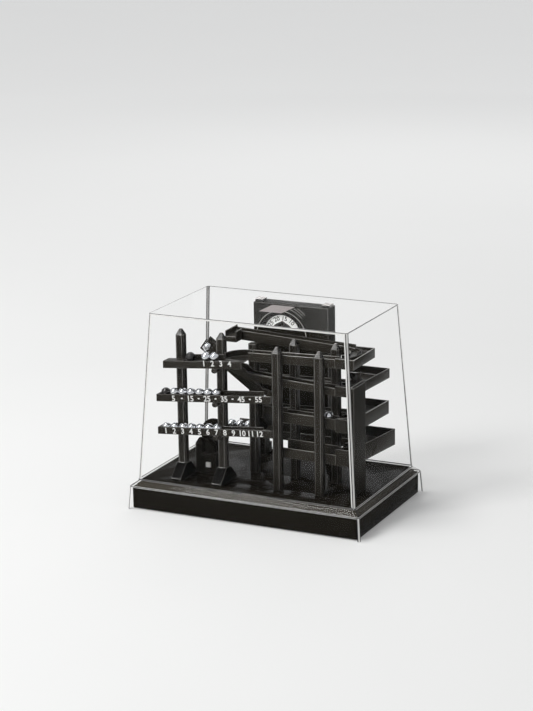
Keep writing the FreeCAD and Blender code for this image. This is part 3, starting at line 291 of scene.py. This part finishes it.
# Darker black for the feet of the posts; it also paints shade on the right-facing facets of their
# tips.
FOOT_AND_SHADE_BLACK = black_plastic(
    "foot and painted shade black plastic", (0.004, 0.0035, 0.003), rough=0.25, relief=0.2, coat=0.0, gloss=0.02
)
# Painted highlights on the tops of the tray walls and of the track walls.
TRAY_RIM_HIGHLIGHT = worn_edge("painted highlight tray rim", (0.92, 0.90, 0.84))
TRACK_RIM_HIGHLIGHT = worn_edge("painted highlight track rim", (0.26, 0.245, 0.215))
# Painted highlight on the rounded edges of the black mouldings.
EDGE_HIGHLIGHT_BLACK = worn_edge("painted highlight black edge", (0.13, 0.12, 0.105))


def copy_of(node):
    """A CAD shape as a clean mesh to work on: doubles merged, flat faces joined."""
    work = bmesh.new()
    work.from_mesh(frame["nodes"][node].data)
    bmesh.ops.remove_doubles(work, verts=work.verts, dist=MERGE)
    bmesh.ops.dissolve_limit(
        work, angle_limit=FLAT_LIMIT, use_dissolve_boundaries=False,
        verts=work.verts, edges=work.edges,
    )
    return work


def piece(name, work, body, slot, *materials):
    """Turn a worked mesh into a piece of the clock."""
    mesh = bpy.data.meshes.new(name)
    work.to_mesh(mesh)
    work.free()
    made = bpy.data.objects.new(name, mesh)
    bpy.context.scene.collection.objects.link(made)
    for material in materials:
        mesh.materials.append(material)
    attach(made, body)
    return made


def round_edges(made, width):
    """Live bevel on every edge sharper than the limit; its strips take the last material."""
    for face in made.data.polygons:
        face.use_smooth = True
    bevel = made.modifiers.new("rounding", "BEVEL")
    bevel.width = width
    bevel.segments = 2
    bevel.limit_method = "ANGLE"
    bevel.angle_limit = EDGE_LIMIT
    bevel.use_clamp_overlap = False
    bevel.harden_normals = True
    bevel.material = len(made.data.materials) - 1
    return made


POST_FOOT = 46 * MM
WALL_WIDTH = 2.5 * MM
# Widths of the painted highlight strips on the track and tray rims.
TRACK_HIGHLIGHT_WIDTH = 0.4 * MM
TRAY_HIGHLIGHT_WIDTH = 0.58 * MM
TURN_START = 90 * MM
TURN_ROUND = 4.5 * MM
UPRIGHT_LEAST = 3 * MM


def moulding(node, material, width=ROUNDING, edge=EDGE_HIGHLIGHT_BLACK, shape=None):
    """The CAD node as a moulding with rounded edges, whose strips take the edge finish, by default
    a painted highlight; shape works on its mesh first.
    """
    work = copy_of(node)
    others = shape(work) if shape else ()
    made = piece(
        node + "_moulding", work, BODY_OF[node], SLOT_OF[node], material, *others, edge
    )
    round_edges(made, width)
    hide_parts(node)
    return made


def post_faces(work):
    """Sort a post's faces: tip facets that do not face right get a painted highlight, those facing
    right get painted shade, and the foot below POST_FOOT is darker.
    """
    lit, dark = 1, 2
    for face in work.faces:
        if face.calc_center_median().z < POST_FOOT:
            face.material_index = dark
        elif 0.2 < face.normal.z < 0.9:
            face.material_index = dark if face.normal.x > 0.3 else lit
    return HIGHLIGHT_FACET, FOOT_AND_SHADE_BLACK


def worn_rims(work, rim, width):
    """Round the top edges of the walls of a channel, and paint them and the walls' tops light as a
    painted highlight.
    """
    rims = [
        edge for edge in work.edges
        if edge.is_convex
        and max(face.normal.z for face in edge.link_faces) > 0.9
        and min(abs(face.normal.z) for face in edge.link_faces) < 0.3
    ]
    bmesh.ops.bevel(
        work, geom=rims, offset=width, segments=3, profile=0.5, affect="EDGES", material=1,
        clamp_overlap=True,
    )
    for face in work.faces:
        if face.normal.z > 0.9 and face.calc_area() < WALL_WIDTH * face.calc_perimeter() / 2:
            face.material_index = 1
    return (rim,)


def track_shape(work):
    """A track has rims with a painted highlight."""
    return worn_rims(work, TRACK_RIM_HIGHLIGHT, TRACK_HIGHLIGHT_WIDTH)


def tray_shape(work):
    """A tray has eased corners where the ball turns, and rims with a painted highlight.

    The short facets of its curved walls clamp both roundings to far less than their widths.
    """
    corners = [
        edge for edge in work.edges
        if not edge.is_convex
        and edge.verts[0].co.x > TURN_START
        and abs(edge.verts[0].co.z - edge.verts[1].co.z) > UPRIGHT_LEAST
        and max(abs(face.normal.z) for face in edge.link_faces) < 0.3
    ]
    bmesh.ops.bevel(
        work, geom=corners, offset=TURN_ROUND, segments=6, profile=0.5, affect="EDGES", material=-1,
        clamp_overlap=True,
    )
    return worn_rims(work, TRAY_RIM_HIGHLIGHT, TRAY_HIGHLIGHT_WIDTH)


for node in (
    "front_post_a", "front_post_b", "front_post_c", "front_post_d",
    "back_post_e", "back_post_f", "back_post_g",
):
    moulding(node, SATIN_BLACK, shape=post_faces)
for node in (
    "track_one", "track_two", "track_three", "track_four", "top_ramp", "ramp_mouth",
    "back_track_two", "back_track_three", "feed_rail",
):
    moulding(node, TRACK_BLACK, shape=track_shape)
for node in ("return_tray_one", "return_tray_two", "return_tray_three", "return_tray_four"):
    moulding(node, SATIN_BLACK, shape=tray_shape)
for node in ("spine_plate", "drop_chute", "minute_guide", "rail_feeders"):
    moulding(node, DEEP_BLACK)
for node in ("pickup_cradle", "pickup_pedestal"):
    moulding(node, DEEP_BLACK, edge=SATIN_BLACK)


# Base. One black moulding with two steps under the hood's flange; its top is the polished floor
# that the posts stand on, and it mirrors them.
BASE_ROUNDING = 0.5 * MM
POLISHED_BLACK = black_plastic(
    "polished black plastic", (0.013, 0.011, 0.008), rough=0.09, relief=0.0, coat=0.0, gloss=0.009
)
moulding("base_shell", POLISHED_BLACK, BASE_ROUNDING, POLISHED_BLACK)


# Display rails and lift arm. The rails tip on pins through the second post, and the arm turns
# on the clockwork's shaft. They are moulded in the same black as the frame.
RAIL_ROUNDING = 0.3 * MM
for node in ("minute_rail", "five_minute_rail", "hour_rail", "pivot_pins"):
    moulding(node, SATIN_BLACK, RAIL_ROUNDING)

LIFTED_BALL = Vector((-65.058, -21.2325, 161.354)) * MM
ARM_REST = math.radians(35)
CHEEK = (Vector((-5.6, 4.9, -5.8)), Vector((12.0, 5.8, 9.0)))
CHEEK_SPACER = (Vector((5.0, 3.9, -5.8)), Vector((12.0, 5.0, 9.0)))


def scoop_cheek(work):
    """Add the scoop's broad cheek behind the ball, and the spacer that joins it to the block."""
    for low, high in (CHEEK, CHEEK_SPACER):
        middle = (low + high) / 2 * MM
        size = (high - low) * MM
        bmesh.ops.create_cube(work, size=1.0, matrix=(
            Matrix.Translation(LIFTED_BALL) @ Matrix.Rotation(ARM_REST, 4, "Y")
            @ Matrix.Translation(middle) @ Matrix.Diagonal(size).to_4x4()
        ))
    return ()


moulding("lift_arm", SATIN_BLACK, RAIL_ROUNDING, shape=scoop_cheek)


# Numbers. White figures are printed on the front of each display rail, one over each ball's
# place; the five-minute rail has a dash between them.
FIGURE_HEIGHT = 5.6 * MM
FIGURE_WEIGHT = 0.022
DIGIT = 0.70
DASH_LENGTH = 2.2 * MM
DASH_HEIGHT = 1.3 * MM
DASH_ROUND = 0.5 * MM
INK = 0.06 * MM


def ink(name, colour):
    """Matt printing ink, a little uneven."""
    finish = Finish(name, Roughness=0.55)
    cover = finish.noise(900.0, 3.0)
    return finish.varies(
        Base_Color=finish.blend(cover, colour, shaded(colour, 0.82)),
        Normal=finish.bump(cover, 0.3, 0.01 * MM),
    )


WHITE_INK = ink("white ink", (0.86, 0.86, 0.84))
BLACK_INK = ink("black ink", (0.02, 0.02, 0.02))


def figure(text, height):
    """Printed figure as a flat mesh about its own middle, upright and facing the front."""
    curve = bpy.data.curves.new("figure", "FONT")
    curve.body = text
    curve.align_x = "CENTER"
    curve.size = 1.0
    curve.offset = FIGURE_WEIGHT
    curve.extrude = 0.5
    curve.resolution_u = 4
    holder = bpy.data.objects.new("figure", curve)
    mesh = bpy.data.meshes.new_from_object(holder)
    work = bmesh.new()
    work.from_mesh(mesh)
    bpy.data.objects.remove(holder)
    bpy.data.meshes.remove(mesh)
    bpy.data.curves.remove(curve)
    scale = height / DIGIT
    bmesh.ops.translate(work, verts=work.verts, vec=(0.0, -DIGIT / 2, 0.0))
    bmesh.ops.scale(work, verts=work.verts, vec=(scale, scale, INK))
    bmesh.ops.rotate(work, verts=work.verts, matrix=Matrix.Rotation(math.radians(90), 3, "X"))
    bmesh.ops.remove_doubles(work, verts=work.verts, dist=0.001 * MM)
    return work


def merge(works):
    """Several worked meshes as one."""
    whole = bmesh.new()
    for work in works:
        part = bpy.data.meshes.new("part")
        work.to_mesh(part)
        whole.from_mesh(part)
        work.free()
        bpy.data.meshes.remove(part)
    return whole


def dash():
    """Short bar with rounded ends, printed between two figures."""
    work = bmesh.new()
    bmesh.ops.create_cube(work, size=1.0)
    bmesh.ops.scale(work, verts=work.verts, vec=(DASH_LENGTH, INK, DASH_HEIGHT))
    corners = [
        edge for edge in work.edges if abs(edge.verts[0].co.y - edge.verts[1].co.y) > INK / 2
    ]
    bmesh.ops.bevel(
        work, geom=corners, offset=DASH_ROUND, segments=3, profile=0.5, affect="EDGES",
        material=-1,
    )
    return work


RAIL_FRONT = -63.005 * MM


def print_rail(name, body, figures, slope, start, base):
    """Figures along a rail, (text, x in mm), on a line that rises from a left end."""
    works = []
    for text, x in figures:
        height = base + (x - start) * math.tan(math.radians(slope))
        work = figure(text, FIGURE_HEIGHT) if text else dash()
        turn = Matrix.Rotation(-math.radians(slope), 3, "Y")
        bmesh.ops.rotate(work, verts=work.verts, matrix=turn)
        bmesh.ops.translate(work, verts=work.verts, vec=(x * MM, RAIL_FRONT, height * MM))
        works.append(work)
    piece(name, merge(works), body, "disc", WHITE_INK)


PITCH = 9.5
HOUR_PITCH = 9.545
print_rail(
    "minute_figures", "minute_rail",
    [(str(count + 1), -48.2 + count * PITCH) for count in range(4)],
    slope=5.25, start=-94.5, base=152.3,
)
print_rail(
    "five_minute_figures", "five_minute_rail",
    [(str(5 * count + 5) if count % 2 == 0 else "", -83.4 + count * PITCH) for count in range(11)],
    slope=5.6, start=-103.0, base=114.7,
)
print_rail(
    "hour_figures", "hour_rail",
    [(str(count + 1), -93.0 + count * HOUR_PITCH) for count in range(12)],
    slope=4.8, start=-102.3, base=80.9,
)


# Balls. Polished steel balls of three eighths of an inch roll in the lanes; the two
# counterweights are the same size with a dark finish.
BALL_RADIUS = 4.7625 * MM


def polished(name, tone, rough):
    """Ball finish with faint polishing marks."""
    finish = Finish(name, IOR=1.6, Metallic=1.0)
    marks = finish.noise(420.0, 4.0, 0.6)
    return finish.varies(
        Base_Color=finish.blend(marks, tone, shaded(tone, 0.86)),
        Roughness=finish.band(marks, 0.3, 0.8) * 0.06 + rough,
        Normal=finish.bump(marks, 0.05, 0.01 * MM),
    )


STEEL_BALL = polished("polished steel", (0.66, 0.67, 0.69), 0.07)
DARK_BALL = polished("dark polished ball", (0.055, 0.053, 0.052), 0.12)


def ball_centres(node):
    """Centre of each loose ball in a CAD node."""
    work = copy_of(node)
    reached = set()
    centres = []
    for first in work.verts:
        if first in reached:
            continue
        reached.add(first)
        island = [first]
        for vertex in island:
            for edge in vertex.link_edges:
                other = edge.other_vert(vertex)
                if other not in reached:
                    reached.add(other)
                    island.append(other)
        low = Vector(min(vertex.co[axis] for vertex in island) for axis in range(3))
        high = Vector(max(vertex.co[axis] for vertex in island) for axis in range(3))
        centres.append((low + high) / 2)
    work.free()
    return centres


for node in (
    "minute_balls", "five_minute_balls", "hour_balls", "waiting_balls", "lift_ball",
    "minute_counterweight", "five_minute_counterweight",
):
    work = bmesh.new()
    for centre in ball_centres(node):
        bmesh.ops.create_uvsphere(
            work, u_segments=40, v_segments=20, radius=BALL_RADIUS,
            matrix=Matrix.Translation(centre),
        )
    skin = DARK_BALL if "counterweight" in node else STEEL_BALL
    made = piece(node + "_polished", work, BODY_OF[node], SLOT_OF[node], skin)
    for face in made.data.polygons:
        face.use_smooth = True
    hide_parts(node)


# Motor housing. A black front shell with an arched window over the seconds disc, and a rear
# cover on two legs. Raised rings run round the dial, with part rings at its upper right.
HOUSING_ROUNDING = 0.4 * MM
for node in ("housing_front", "housing_rear"):
    moulding(node, DEEP_BLACK, HOUSING_ROUNDING)

DIAL = Vector((-12.6 * MM, 0.0, 164.1 * MM))
RING_CENTRE = Vector((-0.5 * MM, 0.0, -3.3 * MM))
RING_FRONT = 43.65 * MM
RING_DEPTH = 0.5
RING_RADIUS = 28.2
RING_WIDTH = 0.6
PART_RINGS = [(32.4, 44, 27), (35.0, 46, 20), (37.4, 44, 16)]
PART_RING_WIDTH = 0.4


def ring(radius, width, thick, front, start=0.0, sweep=360.0, steps=96):
    """Flat ring or part ring facing the front; angles in degrees from the right, upwards."""
    work = bmesh.new()
    inner = (radius - width / 2) * MM
    outer = (radius + width / 2) * MM
    back = front + thick * MM
    corners = [(inner, front), (outer, front), (outer, back), (inner, back)]
    turn = Matrix.Rotation(-math.radians(start), 3, "Y")
    points = [work.verts.new(turn @ Vector((across, depth, 0.0))) for across, depth in corners]
    loop = [work.edges.new((points[index], points[(index + 1) % 4])) for index in range(4)]
    full = sweep >= 360.0
    bmesh.ops.spin(
        work, geom=points + loop, cent=(0, 0, 0), axis=(0, -1, 0), angle=math.radians(sweep),
        steps=steps, use_merge=full,
    )
    if not full:
        bmesh.ops.holes_fill(work, edges=[edge for edge in work.edges if edge.is_boundary], sides=4)
    bmesh.ops.recalc_face_normals(work, faces=work.faces)
    bmesh.ops.translate(work, verts=work.verts, vec=DIAL)
    return work


# The raised rings are painted near white, a painted highlight along them.
RING_HIGHLIGHT = worn_edge("painted highlight ring", (0.80, 0.78, 0.72))
rings = [ring(RING_RADIUS, RING_WIDTH, RING_DEPTH, RING_FRONT, start=5, sweep=170, steps=70)]
for radius, start, sweep in PART_RINGS:
    rings.append(ring(radius, PART_RING_WIDTH, RING_DEPTH, RING_FRONT, start, sweep, steps=20))
for work in rings:
    bmesh.ops.translate(work, verts=work.verts, vec=RING_CENTRE)
piece("dial_rings", merge(rings), "base", "black_plastic", RING_HIGHLIGHT)


# Clips. A spring clip sits on each end of the housing's top: a dark strap with three upright
# ears, and three bright wires through them.
def box(low, high):
    """Upright box between two corners, in mm."""
    work = bmesh.new()
    bmesh.ops.create_cube(work, size=1.0)
    size = Vector(high) - Vector(low)
    middle = (Vector(high) + Vector(low)) / 2
    bmesh.ops.scale(work, verts=work.verts, vec=size * MM)
    bmesh.ops.translate(work, verts=work.verts, vec=middle * MM)
    return work


def wire(left, right, depth, height, radius):
    """Round wire along X, in mm."""
    work = bmesh.new()
    bmesh.ops.create_cone(
        work, cap_ends=True, segments=16, radius1=radius * MM, radius2=radius * MM,
        depth=(right - left) * MM,
    )
    bmesh.ops.rotate(work, verts=work.verts, matrix=Matrix.Rotation(math.radians(90), 3, "Y"))
    middle = Vector(((left + right) / 2, depth, height))
    bmesh.ops.translate(work, verts=work.verts, vec=middle * MM)
    return work


def spring_steel(name, tone, rough):
    """Steel with fine scratches along it."""
    finish = Finish(name, Metallic=1.0)
    scratch = finish.noise(500.0, 4.0, 0.6, (0.2, 1.0, 1.0))
    return finish.varies(
        Base_Color=finish.blend(scratch, tone, shaded(tone, 0.6)),
        Roughness=finish.band(scratch, 0.2, 0.8) * 0.15 + rough,
        Normal=finish.bump(scratch, 0.2, 0.02 * MM),
    )


CLIP_STARTS = (-44.6, 30.6)
CLIP_LENGTH = 9.0
STRAP_LOW, STRAP_HIGH = 196.0, 196.7
STRAP_FRONT, STRAP_BACK = 48.2, 57.8
EAR_WIDTH = 0.9
EAR_INSET = 0.4
EAR_TOP = 198.6
WIRE_DEPTHS = (48.9, 53.0, 57.1)
WIRE_HEIGHT = 198.2
WIRE_RADIUS = 0.75
CLIP_ROUNDING = 0.15 * MM

straps = []
springs = []
for start in CLIP_STARTS:
    end = start + CLIP_LENGTH
    straps.append(box((start, STRAP_FRONT, STRAP_LOW), (end, STRAP_BACK, STRAP_HIGH)))
    for ear in (start, start + 4 * EAR_WIDTH, end - EAR_WIDTH):
        springs.append(box(
            (ear, STRAP_FRONT + EAR_INSET, STRAP_HIGH),
            (ear + EAR_WIDTH, STRAP_BACK - EAR_INSET, EAR_TOP),
        ))
    for depth in WIRE_DEPTHS:
        springs.append(wire(start, end, depth, WIRE_HEIGHT, WIRE_RADIUS))
clip_straps = piece(
    "clip_straps", merge(straps), "base", SLOT_OF["housing_clips"],
    spring_steel("dark spring steel", (0.05, 0.047, 0.045), 0.4),
)
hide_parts("housing_clips")
round_edges(piece(
    "clip_springs", merge(springs), "base", SLOT_OF["housing_clips"],
    spring_steel("bright spring steel", (0.40, 0.385, 0.375), 0.3),
), CLIP_ROUNDING)


# Seconds disc. A white ring with black figures shows through the window as it turns; the
# figures grow anticlockwise. The wheel behind it is its own moulding. Both are white with a
# painted glow of their own.
DISC_FRONT = 46.2 * MM
FACE_THICKNESS = 0.12
FACE_RADIUS = 16.6
FACE_WIDTH = 9.6
MARK_FRONT = DISC_FRONT - 0.14 * MM
MARK_RADIUS = 18.6
MARK_SIZE = (0.35 * MM, INK, 1.5 * MM)
DISC_FIGURE_RADIUS = 16.9
DISC_FIGURE_HEIGHT = 4.6 * MM
SHOWN_SECOND = 16.2

# Painted glow: the matt white emits light of its own, though it is no lamp.
glowing_white = Finish(
    "matt white plastic with painted glow", Roughness=0.5,
    Emission_Color=(1.0, 1.0, 0.97, 1.0), Emission_Strength=0.35,
)
speckle = glowing_white.noise(300.0, 4.0)
GLOWING_WHITE = glowing_white.varies(
    Base_Color=glowing_white.blend(speckle, (0.94, 0.93, 0.90), (0.88, 0.87, 0.84)),
    Normal=glowing_white.bump(speckle, 0.1, 0.02 * MM),
)
face_ring = ring(FACE_RADIUS, FACE_WIDTH, FACE_THICKNESS, DISC_FRONT - FACE_THICKNESS * MM)
piece("disc_face", face_ring, "seconds_disc", "disc", GLOWING_WHITE)
marks = []
for count in range(60):
    if count % 5:
        mark = bmesh.new()
        bmesh.ops.create_cube(mark, size=1.0)
        bmesh.ops.scale(mark, verts=mark.verts, vec=MARK_SIZE)
        radius = MARK_RADIUS
    else:
        mark = figure(str(count or 60), DISC_FIGURE_HEIGHT)
        radius = DISC_FIGURE_RADIUS
    lift = Vector((0.0, MARK_FRONT, radius * MM))
    bmesh.ops.translate(mark, verts=mark.verts, vec=lift)
    turn = Matrix.Rotation(-math.radians(360 / 60 * (count - SHOWN_SECOND)), 3, "Y")
    bmesh.ops.rotate(mark, verts=mark.verts, matrix=turn)
    bmesh.ops.translate(mark, verts=mark.verts, vec=DIAL)
    marks.append(mark)
piece("disc_figures", merge(marks), "seconds_disc", "disc", BLACK_INK)


# Clear cover. One thin acrylic moulding: hood, sloped flange and skirt. The walls hardly show;
# the corners and rims are thick to look through and are painted as lines: a painted highlight
# with painted shade beside it. The flange carries a painted sheen.
def clear_acrylic(name, tone, metal, least, most):
    """Clear moulding: seen through, with a gloss that grows at a slant; mirror-like when metal, a
    painted sheen in its tone when not.
    """
    finish = Finish(name, Roughness=0.03, IOR=1.49, Metallic=metal)
    slant = finish.add("ShaderNodeLayerWeight", None, {"Blend": 0.5}, "Facing")
    smear = finish.noise(30.0, 4.0)
    glint = finish.band(slant, 0.45, 1.0)
    return finish.varies(
        Base_Color=finish.blend(smear, tone, shaded(tone, 0.92)),
        Alpha=glint * glint * (most - least) + least,
    )


def acrylic_edge(name, tone, cover, gloss):
    """Thick edge of the moulding, seen as a line in a painted tone: white for a painted highlight,
    near black for painted shade.
    """
    finish = Finish(name, Roughness=0.12, IOR=1.49, Specular_IOR_Level=gloss)
    smear = finish.noise(40.0, 4.0)
    return finish.varies(
        Base_Color=finish.blend(smear, tone, shaded(tone, 0.85)),
        Alpha=finish.band(smear, 0.2, 0.8) * 0.1 + cover,
    )


# Tones of the painted lines on the cover: white for painted highlight, near black for painted
# shade.
HIGHLIGHT_WHITE = (0.94, 0.93, 0.90)
SHADE_LINE_BLACK = (0.030, 0.030, 0.038)
COVER_FINISHES = [
    clear_acrylic("clear acrylic", (0.90, 0.92, 0.94), metal=1.0, least=0.003, most=0.026),
    acrylic_edge("painted highlight acrylic edge", HIGHLIGHT_WHITE, cover=0.85, gloss=0.5),
    acrylic_edge("painted shade acrylic edge", SHADE_LINE_BLACK, cover=0.88, gloss=0.1),
    # The flange's warm grey, more opaque at a slant, is a painted sheen.
    clear_acrylic("clear acrylic flange with painted sheen", (0.30, 0.27, 0.22), metal=0.0, least=0.10, most=0.20),
    acrylic_edge("faint painted highlight acrylic edge", HIGHLIGHT_WHITE, cover=0.25, gloss=0.5),
]
CLEAR, HIGHLIGHT_LINE, SHADE_LINE, FLANGE_SHEEN, FAINT_HIGHLIGHT_LINE = range(len(COVER_FINISHES))
COVER_MIDDLE = Vector((0.0, 0.0, 0.1))
SKIRT_FOOT = 1 * MM
FLANGE_MIDDLE = 27.5 * MM
HOOD_FOOT = 60 * MM
FRONT_RIM = 1.3 * MM


def is_outer(normal, spot):
    """Whether something at a spot of the cover belongs to its outer surface."""
    return normal.dot(spot - COVER_MIDDLE) > 0.0


def line_rims(work, rims, width, strips, side, core):
    """Bevel rims into strips: the outer two of one material, the core of another."""
    made = set(bmesh.ops.bevel(
        work, geom=rims, offset=width, segments=strips, profile=0.5,
        affect="EDGES", material=-1, clamp_overlap=True,
    )["faces"])
    for face in made:
        around = {other for edge in face.edges for other in edge.link_faces} - {face}
        face.material_index = core if around <= made else side
        face.smooth = True
    work.normal_update()


def outer_rims(work, upright):
    """Sharp edges of the outer surface, either the upright ones or the others."""
    found = []
    for edge in work.edges:
        spot = (edge.verts[0].co + edge.verts[1].co) / 2
        normal = sum((face.normal for face in edge.link_faces), Vector())
        if edge.calc_face_angle(0.0) < EDGE_LIMIT or spot.z < SKIRT_FOOT:
            continue
        rises = abs(edge.verts[0].co.z - edge.verts[1].co.z) > UPRIGHT_LEAST
        if is_outer(normal, spot) and rises == upright:
            found.append(edge)
    return found


cover = copy_of("clear_cover")
# The outer faces of the hood's corners are painted as a highlight line; sloped faces take the
# flange finish with its painted sheen.
for face in cover.faces:
    if 0.3 < abs(face.normal.z) < 0.9:
        face.material_index = FLANGE_SHEEN
    elif abs(face.normal.x) > 0.4 and abs(face.normal.y) > 0.4:
        outer = is_outer(face.normal, face.calc_center_median())
        face.material_index = HIGHLIGHT_LINE if outer else CLEAR
# Outer rims: level and sloped ones become painted highlight strips round a painted shade core,
# upright ones painted shade.
line_rims(cover, outer_rims(cover, upright=False), 2.5 * MM, 4, side=HIGHLIGHT_LINE, core=SHADE_LINE)
line_rims(cover, outer_rims(cover, upright=True), 0.5 * MM, 3, side=SHADE_LINE, core=SHADE_LINE)

# The border of the hood's front wall is a painted highlight line, fainter on the lower front faces.
front_faces = [
    face for face in cover.faces
    if face.normal.y < -0.5 and face.calc_center_median().z > HOOD_FOOT
]
front_wall = max(front_faces, key=lambda face: face.calc_area())
front_rim = bmesh.ops.inset_individual(
    cover, faces=[front_wall], thickness=FRONT_RIM, use_even_offset=True
)
for face in front_rim["faces"]:
    if face.calc_center_median().z > HOOD_FOOT:
        face.material_index = HIGHLIGHT_LINE
for face in cover.faces:
    low = FLANGE_MIDDLE < face.calc_center_median().z < HOOD_FOOT
    if low and face.normal.y < -0.3 and face.material_index == HIGHLIGHT_LINE:
        face.material_index = FAINT_HIGHLIGHT_LINE
hood = piece("clear_cover_moulding", cover, "cover", "clear_cover", *COVER_FINISHES)
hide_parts("clear_cover")


# Small parts. Label plate, switch, feet, the base's doors and cells and the works inside keep
# their shapes and get the finish of what they are made of: plastic, rubber, brass or steel.
def plain_finish(name, tone, rough, metal=0.0, scale=500.0, relief=0.2, stretch=(1.0, 1.0, 1.0)):
    """Finish with slight mottling and fine relief."""
    finish = Finish(name, Metallic=metal)
    grain = finish.noise(scale, 4.0, 0.6, stretch)
    return finish.varies(
        Base_Color=finish.blend(grain, tone, shaded(tone, 0.8)),
        Roughness=finish.band(grain, 0.2, 0.8) * 0.12 + rough,
        Normal=finish.bump(grain, relief, 0.02 * MM),
    )


SMALL_FINISHES = {
    "label_plate": plain_finish(
        "bare aluminium", (0.62, 0.56, 0.55), 0.35, metal=0.3, scale=400, stretch=(0.1, 1, 1)
    ),
    "power_switch": plain_finish("ivory plastic", (0.82, 0.81, 0.77), 0.4),
    "rubber_feet": plain_finish("black rubber", (0.02, 0.02, 0.02), 0.8, scale=900, relief=0.6),
    "bottom_plate": SATIN_BLACK,
    "battery_door": SATIN_BLACK,
    "adapter_socket": SATIN_BLACK,
    # The wheel shares the painted glow of the disc face.
    "seconds_disc": GLOWING_WHITE,
    "battery_cells": plain_finish("cell sleeve", (0.16, 0.17, 0.19), 0.35, 0.3),
    "battery_contacts": plain_finish("nickel plate", (0.6, 0.59, 0.55), 0.25, 1.0),
    "base_screws": plain_finish("zinc plate", (0.55, 0.55, 0.57), 0.3, 1.0),
    "gear_axles": plain_finish("drawn steel", (0.5, 0.5, 0.52), 0.25, 1.0),
    "lift_shaft": plain_finish("ground steel", (0.6, 0.6, 0.62), 0.2, 1.0),
    "arm_gear": plain_finish("natural nylon", (0.72, 0.69, 0.60), 0.45),
    "idler_gear": plain_finish("pale nylon", (0.70, 0.68, 0.60), 0.45),
    "motor_pinion": plain_finish("pinion brass", (0.62, 0.47, 0.22), 0.3, 1.0),
    "gear_motor": plain_finish("motor can", (0.4, 0.41, 0.43), 0.3, 1.0),
    "circuit_board": plain_finish("board lacquer", (0.03, 0.13, 0.06), 0.35),
}
for node, material in SMALL_FINISHES.items():
    held = frame["nodes"][node].data.materials
    held.clear()
    held.append(material)
